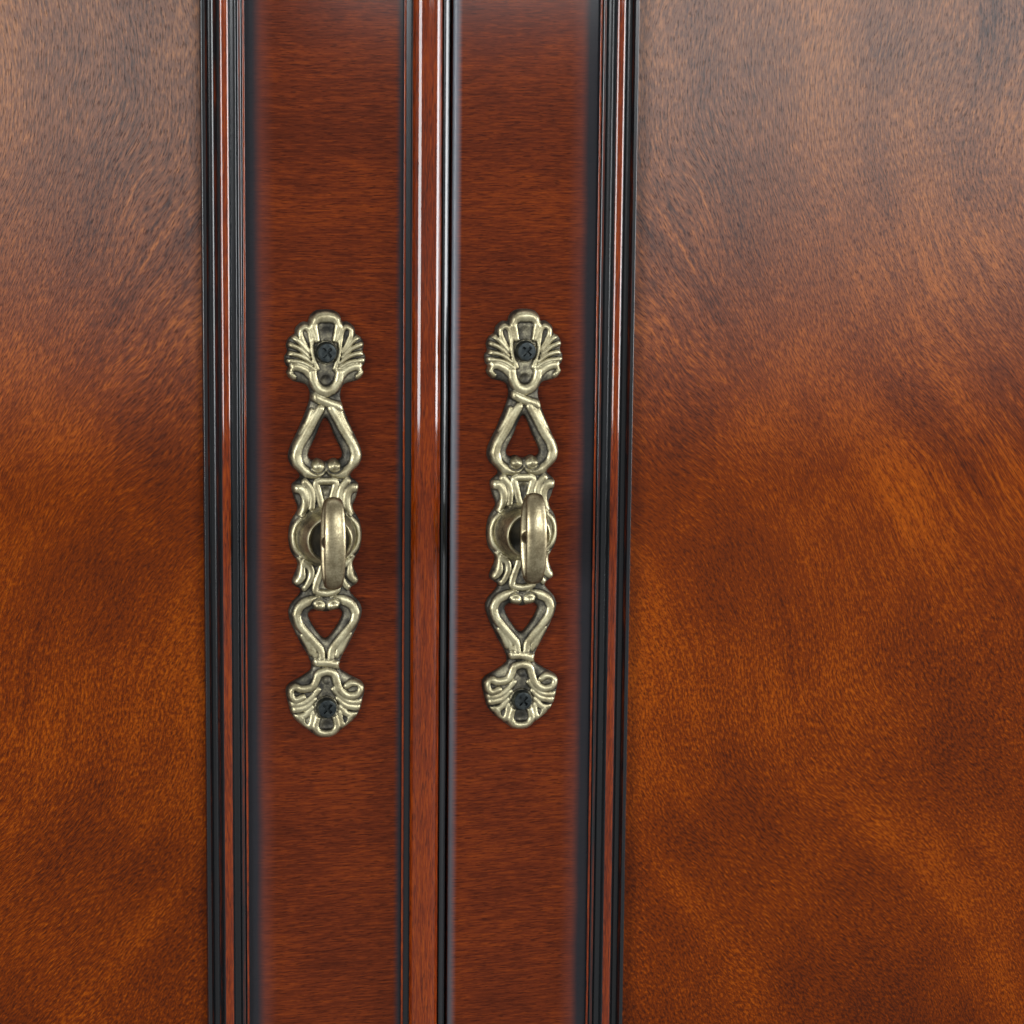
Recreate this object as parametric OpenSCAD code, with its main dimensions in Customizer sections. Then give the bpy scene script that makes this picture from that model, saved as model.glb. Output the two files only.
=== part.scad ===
// Mahogany bar cabinet: two panelled doors under a mixing slide and two drawers.
// Origin on the floor under the middle of the top board, front towards -Y, millimetres.

/* [Overall] */
// Width over the top board
overall_w = 1010; // [940:1:1200]
// Depth over the top board
overall_d = 470; // [440:1:560]
// Height from the floor to the top
overall_h = 1080; // [1060:1:1200]
// How far the top board stands out at the front and sides
top_overhang = 26; // [26:1:40]

/* [Boards] */
// Thickness of the top board
top_t = 28; // [22:1:36]
// Thickness of the side frames
side_t = 22; // [20:1:26]
// Thickness of the front frame
face_t = 22; // [21:0.5:26]
// Thickness of the bottom board and the partitions
board_t = 18; // [15:1:22]
// Thickness of the boards under the drawers and the slide
dust_board_t = 15; // [12:1:18]
// Thickness of the back panel
back_t = 10; // [6:1:14]

/* [Base] */
// Height of the bracket feet
foot_h = 95; // [80:1:110]
// Length of a bracket foot along its side
foot_l = 150; // [130:1:180]
// Thickness of the foot boards
foot_t = 22; // [18:1:26]
// How far the feet stand out from the body
foot_proud = 10; // [6:1:14]
// Height of the moulding above the feet
base_moulding_h = 24; // [18:1:30]

/* [Front frame] */
// Width of the outer uprights
face_stile_w = 44; // [38:1:60]
// Height of the rail under the doors
bottom_rail_h = 54; // [44:1:70]
// Height of the rail between doors and mixing slide
slide_rail_h = 21; // [17:1:26]
// Height of the slot for the mixing slide
slide_slot_h = 21; // [20.5:0.5:24]
// Height of the rail under the drawers
drawer_rail_h = 18; // [16:1:24]
// Height of the drawer openings
drawer_opening_h = 122; // [105:1:135]
// Height of the rail under the top board
top_rail_h = 41; // [34:1:50]
// Height of the cove moulding under the top board
cove_h = 22; // [16:1:28]
// Width of the upright between the drawers
drawer_upright_w = 30; // [24:1:40]

/* [Doors] */
// Thickness of the door frames
door_t = 20; // [18:0.5:21]
// Gap around the doors, drawers and slide
edge_gap = 1.5; // [1.5:0.1:2.5]
// Gap between the meeting edges of the doors
meeting_gap = 1; // [0.8:0.1:1.6]
// Back bevel of the meeting edges
meeting_bevel = 1.2; // [1:0.1:2]
// Flat width of a door stile beside its moulding
stile_flat_w = 50; // [44:1:60]
// Flat width of the left door's meeting stile, between its moulding and the bead strip
meeting_flat_w = 52.6; // [46:0.1:62]
// Flat width of a door rail beside its moulding
rail_flat_w = 62; // [50:1:80]
// Width of the bead strip on the left door's meeting edge
astragal_w = 15.5; // [14:0.5:18]
// Height of the bead strip's round above the door
astragal_h = 5; // [4:0.1:5.5]
// Radius of the rounded front edge of the right door's meeting stile
meeting_round = 2.2; // [1:0.1:3]
// Thickness of the framed panels
panel_t = 8; // [6:0.5:9]
// Depth of a framed panel below its frame
panel_recess = 4; // [3:0.1:5]
// Depth of the panel grooves
groove_depth = 6; // [4:0.5:8]
// Play of a panel in its groove
panel_play = 0.3; // [0.1:0.1:0.5]

/* [Panel moulding] */
// Width of the moulding round a panel
moulding_w = 14; // [13:0.1:16]
// Part of the moulding that lies on the frame
moulding_lap = 7; // [6:0.1:8]
// Height of the moulding's round above the frame
moulding_h = 3.6; // [3:0.1:4]

/* [Side frames] */
// Width of the uprights of a side frame
side_stile_w = 58; // [50:1:80]
// Height of the rails of a side frame
side_rail_h = 74; // [60:1:90]

/* [Handles] */
// Length of a handle plate
handle_l = 145; // [120:1:160]
// Greatest width of a handle plate
handle_w = 26.5; // [22:0.5:30]
// Thickness of a handle plate
plate_t = 3.5; // [2.5:0.1:4.5]
// Height of the handle's middle above the floor
handle_z = 520; // [480:1:560]
// Distance from the plate's middle down to the boss
boss_drop = 3.4; // [0:0.1:6]
// Height of the boss above the door
boss_out = 11.7; // [9:0.1:12]
// Radius of the boss at its foot
boss_foot_r = 9.6; // [8.5:0.1:10]
// Radius of the boss at its end
boss_end_r = 7.5; // [6:0.1:8]
// Radius of the stem that carries the bow
stem_r = 3; // [2:0.1:3.5]
// Play of the stem in the boss
stem_play = 0.05; // [0.02:0.01:0.1]
// Height of the bow
bow_h = 31; // [26:0.5:34]
// Thickness of the bow across
bow_w = 7.5; // [6:0.1:9]
// Thickness of the bow's rim
bow_rim = 3; // [2.4:0.1:3.2]
// How far the bow stands out from the door
bow_out = 24; // [23.5:0.1:25.5]
// Gap between the bow and the boss
bow_gap = 0.3; // [0.2:0.1:0.5]
// Radius of the heads of the plate screws
screw_head_r = 3.6; // [3:0.1:4]
// Radius of the plate screws
screw_r = 1.75; // [1.5:0.05:2]
// Length of the plate screws
screw_l = 16; // [12:1:18]

/* [Hinges] */
// Length of a butt hinge
hinge_l = 70; // [60:1:90]
// Distance from a door's end to its hinge
hinge_inset = 70; // [50:1:110]
// Radius of the hinge pins
pin_r = 1.6; // [1.4:0.1:2]
// Play of the pins in the knuckles
pin_play = 0.05; // [0.02:0.01:0.1]
// Radius of the knuckles
knuckle_r = 3.6; // [3.4:0.1:4]
// Distance from the front frame to the hinge axis
hinge_proud = 4.5; // [4.3:0.1:5]
// Thickness of a hinge leaf
leaf_t = 1.6; // [1.4:0.1:2]
// Depth of a leaf behind the front face
leaf_d = 14; // [12:1:16]
// End play between the knuckles
knuckle_gap = 0.4; // [0.3:0.1:0.6]
// Screws in a hinge leaf
hinge_screws = 3; // [2:1:3]
// Radius of a hinge screw
hinge_screw_r = 1.4; // [1.2:0.1:1.6]
// Radius of a hinge screw's countersunk head
hinge_screw_head_r = 2.9; // [2.5:0.1:3]
// Length of a hinge screw
hinge_screw_l = 14; // [10:1:18]

/* [Drawers] */
// Thickness of the drawer fronts
drawer_front_t = 20; // [18:0.5:21]
// Thickness of the drawer sides and backs
drawer_side_t = 12; // [10:1:15]
// Thickness of the drawer bottoms
drawer_bottom_t = 6; // [4:0.5:8]
// Length of a drawer from front to back
drawer_l = 385; // [350:1:400]
// Room above the drawer sides
drawer_headroom = 20; // [14:1:26]
// Height of a drawer bottom above the sides' lower edge
drawer_bottom_rise = 8; // [6:1:12]
// Play under the drawers and the slide
running_play = 0.5; // [0.4:0.1:0.8]
// Radius of the drawer and slide knobs
knob_r = 9; // [7:0.5:10]
// How far the knobs stand out
knob_out = 22; // [18:0.5:24]
// Distance between the two knobs of a drawer
knob_spacing = 210; // [150:5:260]

/* [Mixing slide] */
// Thickness of the mixing slide
slide_t = 19; // [15:0.5:19]
// Length of the mixing slide from front to back
slide_l = 400; // [350:1:405]
// Radius of the slide's knobs
slide_knob_r = 6.8; // [5.5:0.1:7]
// How far the slide's knobs stand out
slide_knob_out = 16; // [14:0.5:22]
// Distance between the slide's knobs
slide_knob_spacing = 520; // [300:10:700]

/* [Inside] */
// Thickness of the shelves
shelf_t = 18; // [15:1:20]
// Height of the left shelf above the cupboard floor
left_shelf_rise = 320; // [250:1:360]
// Height of the right shelf above the cupboard floor
right_shelf_rise = 285; // [280:1:330]
// Setback of shelves and partition behind the doors
inside_setback = 14; // [10:1:24]
// Play at the ends of a shelf
shelf_play = 1; // [0.5:0.1:2]
// Width of the bearers under the shelves
bearer_w = 12; // [10:1:15]
// Height of the bearers under the shelves
bearer_h = 16; // [14:1:20]
// Number of glass rails
glass_rails = 5; // [4:1:5]
// Width of a glass rail
glass_rail_w = 62; // [50:1:64]
// Thickness of a glass rail
glass_rail_t = 8; // [6:1:10]
// Width of the spacer above a glass rail
glass_spacer_w = 12; // [10:1:16]
// Height of the spacer above a glass rail
glass_spacer_h = 22; // [18:1:28]
// Radius of the bottle hollows
bottle_r = 41; // [38:1:42]
// Bottles side by side in a row
bottles = 4; // [3:1:4]
// Height of a bottle rail
bottle_rail_h = 46; // [40:1:50]
// Thickness of a bottle rail
bottle_rail_t = 18; // [15:1:20]
// Height from one row of bottles to the next
bottle_row_rise = 125; // [118:1:130]

/* [Hidden] */

mahogany = "#74301b";
dark_mahogany = "#4a1d12";
panel_wood = "#86401d";
inside_wood = "#8a5230";
brass = "#9c8a58";
black_steel = "#2b2d30";

// Planes of the body
face_y = -overall_d / 2 + top_overhang;
back_y = overall_d / 2;
case_y = face_y + face_t;
inner_back_y = back_y - back_t;
half_w = overall_w / 2 - top_overhang;
inner_x = half_w - side_t;
opening_x = half_w - face_stile_w;

// Heights of the front openings
bottom_rail_z = foot_h + bottom_rail_h;
top_board_z = overall_h - top_t;
drawer_top_z = top_board_z - top_rail_h;
drawer_floor_z = drawer_top_z - drawer_opening_h;
slot_top_z = drawer_floor_z - drawer_rail_h;
slot_floor_z = slot_top_z - slide_slot_h;
door_opening_z = slot_floor_z - slide_rail_h;
ceiling_z = slot_floor_z - dust_board_t;

// Doors: the bead strip is centred on the cabinet, so the gap lies beside it
gap_x = astragal_w / 2;
door_z = [bottom_rail_z + edge_gap, door_opening_z - edge_gap];
left_door_x = [-opening_x + edge_gap, gap_x - meeting_gap / 2];
right_door_x = [gap_x + meeting_gap / 2, opening_x - edge_gap];
door_y = [face_y, face_y + door_t];
frame_stile_w = stile_flat_w + moulding_lap;
meeting_stile_w = meeting_flat_w + moulding_lap + astragal_w;
frame_rail_w = rail_flat_w + moulding_lap;
handle_x = [gap_x - meeting_gap / 2 - astragal_w - meeting_flat_w / 2,
            gap_x + meeting_gap / 2 + stile_flat_w / 2];
boss_z = handle_z - boss_drop;

// Hinges stand in the middle of the gap beside each door
hinge_x = opening_x - edge_gap / 2;
hinge_y = face_y - hinge_proud;
hinge_z = [door_z[0] + hinge_inset, door_z[1] - hinge_inset - hinge_l];

// Running fits of the hinge knuckles and a margin for cuts
knuckle_room = 0.4;
past = 1;
round_fn = 48;
arc_steps = 8;
curve_steps = 12;

// Box between two limits on each axis
module span(x, y, z) {
    translate([x[0], y[0], z[0]]) cube([x[1] - x[0], y[1] - y[0], z[1] - z[0]]);
}

function around(middle, width) = [middle - width / 2, middle + width / 2];

// The same thing on both sides of the middle
module mirrored_pair() {
    children();
    mirror([1, 0, 0]) children();
}

function arc(c, r, from, to) =
    [for (i = [0:arc_steps]) let (a = from + (to - from) * i / arc_steps)
        [c[0] + r * cos(a), c[1] + r * sin(a)]];

// Part of an oval with half axes a and b
function oval(c, a, b, from, to, steps = curve_steps) =
    [for (i = [0:steps]) let (t = from + (to - from) * i / steps)
        [c[0] + a * cos(t), c[1] + b * sin(t)]];

// A whole ellipse about the origin, in sixty points
function ellipse(a, b) = oval([0, 0], a, b, 0, 354, 59);

// A smooth closed curve through points, four steps from each point to the next
function curve_point(p0, p1, p2, p3, t) =
    0.5 * (2 * p1 + (p2 - p0) * t + (2 * p0 - 5 * p1 + 4 * p2 - p3) * t * t
           + (3 * p1 - p0 - 3 * p2 + p3) * t * t * t);
function smooth_loop(p) = let (n = len(p))
    [for (i = [0:n - 1], k = [0:3])
        curve_point(p[(i + n - 1) % n], p[i], p[(i + 1) % n], p[(i + 2) % n], k / 4)];

// Right half of an outline, from top to bottom, joined to its mirror image
function both_halves(p) =
    concat(p, [for (i = [len(p) - 1:-1:0]) if (abs(p[i][0]) > 0.01) [-p[i][0], p[i][1]]]);

// Panel moulding: across from the frame, and out from the frame's face
fillet_w = 0.9;
fillet_out = 1.6;
reed_r = 0.8;
reed_across = 1.8;
quirk_across = 3.6;
quirk_out = 0.8;
spring_out = 1;
bead_r = 2.2;
bead_across = 6.9;
cove_r = 1.8;
cove_across = bead_across + bead_r + cove_r;
inner_fillet_out = 0.3;
moulding_profile = concat(
    [[0, 0], [0, fillet_out], [fillet_w, fillet_out], [fillet_w, spring_out]],
    arc([reed_across, spring_out], reed_r, 180, 0),
    [[quirk_across, quirk_out], [bead_across - bead_r, spring_out]],
    oval([bead_across, spring_out], bead_r, moulding_h - spring_out, 180, 0),
    [[bead_across + bead_r, inner_fillet_out]],
    arc([cove_across, inner_fillet_out], cove_r, 180, 360),
    [[moulding_w, inner_fillet_out], [moulding_w, -panel_recess],
     [moulding_lap, -panel_recess], [moulding_lap, 0]]
);

// One mitred strip of panel moulding, standing along Z, its outer edge on X = 0
module moulding_strip(length) {
    intersection() {
        linear_extrude(height = length)
            polygon([for (p = moulding_profile) [p[0], -p[1]]]);
        translate([0, panel_recess + past, 0]) rotate([90, 0, 0])
            linear_extrude(height = panel_recess + moulding_h + 2 * past)
            polygon([[0, 0], [moulding_w + past, moulding_w + past],
                     [moulding_w + past, length - moulding_w - past], [0, length]]);
    }
}

// Four strips round a sight opening w wide and h high, centred, on a frame at Y = 0
module moulding_ring(w, h) {
    for (side = [0, 1]) {
        mirror([side, 0, 0]) translate([-w / 2, 0, -h / 2]) moulding_strip(h);
        mirror([0, 0, side]) translate([-w / 2, 0, -h / 2]) mirror([1, 0, -1]) moulding_strip(w);
    }
}

// Carcass sides: a glued frame with a groove, a panel in it and mouldings outside
side_y = [case_y, back_y];
side_z = [foot_h, top_board_z];
side_hole_y = [side_y[0] + side_stile_w, side_y[1] - side_stile_w];
side_hole_z = [side_z[0] + side_rail_h, side_z[1] - side_rail_h];
groove_x = [inner_x + side_t - panel_recess - panel_t, inner_x + side_t - panel_recess];

module side_frame() {
    color(mahogany) difference() {
        span([inner_x, half_w], side_y, side_z);
        span([inner_x - past, half_w + past], side_hole_y, side_hole_z);
        span(groove_x, side_hole_y + groove_depth * [-1, 1], side_hole_z + groove_depth * [-1, 1]);
    }
}
module side_panel() {
    edge = groove_depth - panel_play;
    color(panel_wood)
        span([groove_x[0] + panel_play / 2, groove_x[1]], side_hole_y + edge * [-1, 1],
             side_hole_z + edge * [-1, 1]);
}
module side_moulding() {
    translate([half_w, (side_hole_y[0] + side_hole_y[1]) / 2,
               (side_hole_z[0] + side_hole_z[1]) / 2])
        rotate([0, 0, 90])
        moulding_ring(side_hole_y[1] - side_hole_y[0] + 2 * moulding_lap,
                      side_hole_z[1] - side_hole_z[0] + 2 * moulding_lap);
}
module side_frames() { mirrored_pair() side_frame(); }
module side_panels() { mirrored_pair() side_panel(); }
module side_mouldings() { color(dark_mahogany) mirrored_pair() side_moulding(); }

// Carcass boards
module bottom_board() {
    color(inside_wood)
        span([-inner_x, inner_x], [case_y, inner_back_y], [bottom_rail_z - board_t, bottom_rail_z]);
}
module back_panel() {
    color(inside_wood) span([-inner_x, inner_x], [inner_back_y, back_y], side_z);
}
module cupboard_ceiling() {
    color(inside_wood)
        span([-inner_x, inner_x], [case_y, inner_back_y], [ceiling_z, slot_floor_z]);
}
module drawer_board() {
    color(inside_wood)
        span([-inner_x, inner_x], [case_y, inner_back_y],
             [drawer_floor_z - dust_board_t, drawer_floor_z]);
}
partition_y = [face_y + door_t + inside_setback, inner_back_y];
module centre_partition() {
    color(inside_wood)
        span([-board_t / 2, board_t / 2], partition_y, [bottom_rail_z, ceiling_z]);
}
module drawer_partition() {
    color(mahogany)
        span([-drawer_upright_w / 2, drawer_upright_w / 2], [face_y, inner_back_y],
             [drawer_floor_z, drawer_top_z]);
}

// Top board: the moulded edge runs along the front and both sides
top_edge_step = 3;
top_edge_chamfer = 2;
top_edge_round = 8.8;
top_edge = concat(
    [[top_edge_round, 0], [top_edge_round, top_edge_step]],
    oval([top_edge_round, top_t / 2], top_edge_round, top_t / 2 - top_edge_step, 270, 90),
    [[top_edge_round, top_t - top_edge_step], [top_edge_round + top_edge_chamfer, top_t]]
);
module top_board() {
    color(mahogany) translate([0, 0, top_board_z]) intersection() {
        translate([-overall_w / 2, 0, 0]) rotate([90, 0, 90]) linear_extrude(height = overall_w)
            polygon(concat([for (p = top_edge) [p[0] - overall_d / 2, p[1]]],
                           [[overall_d / 2, top_t], [overall_d / 2, 0]]));
        translate([0, overall_d / 2, 0]) rotate([90, 0, 0]) linear_extrude(height = overall_d)
            polygon(concat([for (p = top_edge) [p[0] - overall_w / 2, p[1]]],
                           [for (i = [len(top_edge) - 1:-1:0])
                               [overall_w / 2 - top_edge[i][0], top_edge[i][1]]]));
    }
}

// Three mitred strips along the front and sides; the profile is out from the body and up
module front_and_sides(profile) {
    reach = max([for (p = profile) p[0]]);
    rise = max([for (p = profile) p[1]]);
    intersection() {
        translate([-half_w - reach, face_y, 0]) rotate([90, 0, 90])
            linear_extrude(height = 2 * (half_w + reach)) polygon([for (p = profile) [-p[0], p[1]]]);
        linear_extrude(height = rise)
            polygon([[-half_w, face_y], [-half_w - reach, face_y - reach],
                     [half_w + reach, face_y - reach], [half_w, face_y]]);
    }
    mirrored_pair() intersection() {
        translate([half_w, back_y, 0]) rotate([90, 0, 0])
            linear_extrude(height = back_y - face_y + reach) polygon(profile);
        linear_extrude(height = rise)
            polygon([[half_w, face_y], [half_w + reach, face_y - reach],
                     [half_w + reach, back_y], [half_w, back_y]]);
    }
}

// Cove under the top board: a fillet below, the hollow, and a lip above
cove_set_back = 8;
cove_fillet = 3;
cove_lip = 2;
cove_out = top_overhang - cove_set_back;
cove_profile = concat(
    [[0, 0], [cove_fillet, 0], [cove_fillet, cove_fillet]],
    oval([cove_out - cove_lip, cove_fillet], cove_out - cove_lip - cove_fillet,
         cove_h - 2 * cove_fillet, 180, 90),
    [[cove_out, cove_h - cove_fillet], [cove_out, cove_h], [0, cove_h]]
);
module top_moulding() {
    color(dark_mahogany) translate([0, 0, top_board_z - cove_h]) front_and_sides(cove_profile);
}

// Moulding over the feet: a flat band, a round and a fillet
base_band_h = 6;
base_quirk = 0.5;
base_round_w = 3.5;
base_fillet_out = 2;
base_profile = concat(
    [[0, 0], [foot_proud, 0], [foot_proud, base_band_h]],
    oval([foot_proud - base_quirk - base_round_w, base_band_h], base_round_w,
         base_moulding_h - 2 * base_band_h, 0, 90),
    [[base_fillet_out, base_moulding_h - base_band_h], [base_fillet_out, base_moulding_h],
     [0, base_moulding_h]]
);
module base_moulding() {
    color(dark_mahogany) translate([0, 0, foot_h]) front_and_sides(base_profile);
}

// Bracket feet: the outline runs along the floor, up the bracket's curve and to the body
bracket_toe = 58;
bracket_notch = 26;
bracket_step = 8;
bracket_neck = 20;
bracket_low_z = foot_h * 0.3;
bracket_mid_z = foot_h * 0.55;
bracket_notch_x = bracket_toe + bracket_notch;
bracket_step_x = bracket_notch_x + bracket_step;
bracket_outline = concat(
    [[0, 0], [bracket_toe, 0]],
    oval([bracket_notch_x, bracket_low_z], bracket_notch, bracket_mid_z - bracket_low_z,
         180, 90),
    oval([bracket_step_x, foot_h - bracket_neck], foot_l - bracket_step_x,
         foot_h - bracket_neck - bracket_mid_z, 270, 360),
    [[foot_l, foot_h], [0, foot_h]]
);
foot_x = half_w + foot_proud;
foot_y = face_y - foot_proud;
module bracket() { linear_extrude(height = foot_t) polygon(bracket_outline); }

// Everything on the side board's half of a front corner
module foot_corner_half() {
    translate([-foot_x, foot_y, -past]) linear_extrude(height = foot_h + 2 * past)
        polygon([[-past, -past], [foot_t, foot_t], [foot_t, foot_l + past],
                 [-past, foot_l + past]]);
}
module front_foot() {
    difference() {
        translate([-foot_x, foot_y + foot_t, 0]) rotate([90, 0, 0]) bracket();
        foot_corner_half();
    }
    intersection() {
        translate([-foot_x, foot_y, 0]) rotate([90, 0, 90]) bracket();
        foot_corner_half();
    }
}
module front_feet() { color(mahogany) mirrored_pair() front_foot(); }
module back_feet() {
    color(mahogany) mirrored_pair() {
        translate([-foot_x, back_y, 0]) mirror([0, 1, 0]) rotate([90, 0, 90]) bracket();
        span([-foot_x + foot_t, -foot_x + foot_l], [back_y - foot_t, back_y], [0, foot_h]);
    }
}
block_w = 60;
block_lift = 3;
module foot_blocks() {
    front = foot_y + foot_t;
    back = back_y - foot_t;
    color(inside_wood) mirrored_pair() for (y = [[front, front + block_w], [back - block_w, back]])
        span([-foot_x + foot_t, -foot_x + foot_t + block_w], y, [block_lift, foot_h]);
}

// Guides beside the mixing slide and the drawers
guide_h = 16;
module side_guides() {
    color(inside_wood) mirrored_pair() for (z = [slot_floor_z, drawer_floor_z])
        span([opening_x, inner_x], [case_y, inner_back_y], [z, z + guide_h]);
}

// Shelves and what they lie on
left_bay_x = [-inner_x, -board_t / 2];
right_bay_x = [board_t / 2, inner_x];
bay_w = inner_x - board_t / 2;
left_shelf_z = bottom_rail_z + left_shelf_rise;
right_shelf_z = bottom_rail_z + right_shelf_rise;
module shelf(bay_x, z) {
    color(inside_wood)
        span(bay_x + shelf_play * [1, -1], partition_y + [0, -shelf_play], [z, z + shelf_t]);
}
module shelves() {
    shelf(left_bay_x, left_shelf_z);
    shelf(right_bay_x, right_shelf_z);
}
module bearer_pair(bay_x, z) {
    for (x = [[bay_x[0], bay_x[0] + bearer_w], [bay_x[1] - bearer_w, bay_x[1]]])
        span(x, partition_y, [z - bearer_h, z]);
}
module shelf_bearers() {
    color(inside_wood) {
        bearer_pair(left_bay_x, left_shelf_z);
        bearer_pair(right_bay_x, right_shelf_z);
        bearer_pair(right_bay_x, bottom_rail_z + bottle_row_rise);
    }
}

// Stemware hangs between T-shaped rails under the cupboard's ceiling
rack_setback = 12;
rack_y = [partition_y[0] + rack_setback, inner_back_y];
glass_pitch = bay_w / glass_rails;
glass_rail_x = [for (i = [0:glass_rails - 1]) left_bay_x[0] + glass_pitch * (i + 0.5)];
module glass_rack_spacers() {
    color(inside_wood) for (x = glass_rail_x)
        span(around(x, glass_spacer_w), rack_y, [ceiling_z - glass_spacer_h, ceiling_z]);
}
module glass_rack_rails() {
    z = ceiling_z - glass_spacer_h;
    color(inside_wood) for (x = glass_rail_x)
        span(around(x, glass_rail_w), rack_y, [z - glass_rail_t, z]);
}

// Bottles lie in hollows over a front and a back rail
bottle_pitch = bay_w / bottles;
bottle_rise = 8;
back_rail_distance = 205;
module bottle_rails() {
    color(inside_wood) for (row = [0, 1], back = [0, back_rail_distance])
        translate([0, rack_y[0] + back, bottom_rail_z + bottle_row_rise * row]) difference() {
            span(right_bay_x, [0, bottle_rail_t], [0, bottle_rail_h]);
            for (i = [0:bottles - 1])
                translate([right_bay_x[0] + bottle_pitch * (i + 0.5), -past,
                           bottle_rail_h + bottle_rise])
                rotate([-90, 0, 0]) cylinder(r = bottle_r, h = bottle_rail_t + 2 * past, $fn = 96);
        }
}

// Magnetic catches behind the tops of the doors, and the plates that they hold
catch_w = 40;
catch_h = 22;
catch_d = 16;
strike_t = 1.5;
strike_gap = 0.5;
strike_margin = 2;
strike_h = 13;
catch_x = handle_x;
catch_y = max(case_y, door_y[1] + strike_t + strike_gap);
module door_catches() {
    color(black_steel) for (x = catch_x)
        span(around(x, catch_w), [catch_y, catch_y + catch_d],
             [ceiling_z - catch_h, ceiling_z]);
}
module strike(x) {
    top = door_z[1] - strike_margin;
    color(black_steel)
        span(around(x, catch_w - 2 * strike_margin), [door_y[1], door_y[1] + strike_t],
             [top - strike_h, top]);
}
module left_strike() { strike(catch_x[0]); }
module right_strike() { strike(catch_x[1]); }

// Butt hinges, drawn for the right door: three knuckles, the case's above and below the door's
knuckle_l = (hinge_l - 2 * knuckle_gap) / 3;
leaf_front = hinge_y + knuckle_r + knuckle_room;
pin_head_h = 2;
pin_head_r = 3;
function knuckle_z(i) = i * (knuckle_l + knuckle_gap);
module hinge_leaf(leaf_x, knuckles) {
    difference() {
        union() {
            span(leaf_x, [leaf_front, face_y + leaf_d], [0, hinge_l]);
            for (i = knuckles) {
                translate([hinge_x, hinge_y, knuckle_z(i)])
                    cylinder(r = knuckle_r, h = knuckle_l, $fn = round_fn);
                span(leaf_x, [hinge_y, leaf_front], [knuckle_z(i), knuckle_z(i) + knuckle_l]);
            }
        }
        translate([hinge_x, hinge_y, -past])
            cylinder(r = pin_r + pin_play, h = hinge_l + 2 * past, $fn = round_fn);
    }
}
case_leaf_x = [opening_x, opening_x + leaf_t];
door_leaf_x = [opening_x - edge_gap - leaf_t, opening_x - edge_gap];
module door_leaves() {
    color(brass) difference() {
        for (z = hinge_z) translate([0, 0, z]) hinge_leaf(door_leaf_x, [1]);
        at_door_screws() hinge_screw_form(hinge_screw_play);
    }
}
module left_door_leaves() { mirror([1, 0, 0]) door_leaves(); }
module right_door_leaves() { door_leaves(); }
module case_hinge_leaves() {
    color(brass) mirrored_pair() difference() {
        for (z = hinge_z) translate([0, 0, z]) hinge_leaf(case_leaf_x, [0, 2]);
        at_case_screws() hinge_screw_form(hinge_screw_play);
    }
}

// Countersunk hinge screws, driven along X from the open face of their leaf
hinge_screw_inset = 9;
hinge_screw_play = 0.05;
hinge_slot_w = 0.8;
hinge_slot_depth = 0.7;
countersink_h = leaf_t - 0.1;
hinge_screw_y = (leaf_front + face_y + leaf_d) / 2;
hinge_screw_pitch = (hinge_l - 2 * hinge_screw_inset) / (hinge_screws - 1);
module hinge_screw_form(play) {
    rotate([0, 90, 0]) {
        cylinder(r1 = hinge_screw_head_r + play, r2 = hinge_screw_r + play, h = countersink_h,
                 $fn = round_fn);
        cylinder(r = hinge_screw_r + play, h = hinge_screw_l + play, $fn = round_fn);
    }
}
module hinge_screw() {
    difference() {
        hinge_screw_form(0);
        translate([-past, -hinge_screw_head_r - past, -hinge_slot_w / 2])
            cube([hinge_slot_depth + past, 2 * (hinge_screw_head_r + past), hinge_slot_w]);
    }
}
module at_leaf_screws() {
    for (z = hinge_z, i = [0:hinge_screws - 1])
        translate([0, hinge_screw_y, z + hinge_screw_inset + i * hinge_screw_pitch]) children();
}
module at_case_screws() { translate([case_leaf_x[0], 0, 0]) at_leaf_screws() children(); }
module at_door_screws() {
    translate([door_leaf_x[1], 0, 0]) mirror([1, 0, 0]) at_leaf_screws() children();
}
module case_hinge_screws() { color(brass) mirrored_pair() at_case_screws() hinge_screw(); }
module right_door_hinge_screws() { color(brass) at_door_screws() hinge_screw(); }
module left_door_hinge_screws() { mirror([1, 0, 0]) right_door_hinge_screws(); }
module hinge_pins() {
    color(brass) mirrored_pair() for (z = hinge_z) translate([hinge_x, hinge_y, z]) {
        cylinder(r = pin_r, h = hinge_l + pin_head_h, $fn = round_fn);
        translate([0, 0, hinge_l]) cylinder(r = pin_head_r, h = pin_head_h, $fn = round_fn);
    }
}
module leaf_pockets(leaf_x) {
    for (z = hinge_z) span(leaf_x, [face_y - past, face_y + leaf_d], [z, z + hinge_l]);
}

// Front frame
module face_stiles() {
    color(mahogany) mirrored_pair() difference() {
        span([opening_x, half_w], [face_y, case_y], side_z);
        leaf_pockets([opening_x - past, case_leaf_x[1]]);
        at_case_screws() hinge_screw_form(hinge_screw_play);
    }
}
module face_rails() {
    rails = [[foot_h, bottom_rail_z], [door_opening_z, slot_floor_z],
             [slot_top_z, drawer_floor_z], [drawer_top_z, top_board_z]];
    color(mahogany) for (z = rails) span([-opening_x, opening_x], [face_y, case_y], z);
}

// Doors: grooved stiles, tongued rails, a loose panel and a moulding over the joint
panel_y = [face_y + panel_recess, face_y + panel_recess + panel_t];
left_sight_x = [left_door_x[0] + frame_stile_w, left_door_x[1] - meeting_stile_w];
right_sight_x = [right_door_x[0] + frame_stile_w, right_door_x[1] - frame_stile_w];
sight_z = [door_z[0] + frame_rail_w, door_z[1] - frame_rail_w];
module panel_groove(sight_x, sight_z) {
    span(sight_x + groove_depth * [-1, 1], panel_y, sight_z + groove_depth * [-1, 1]);
}

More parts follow.
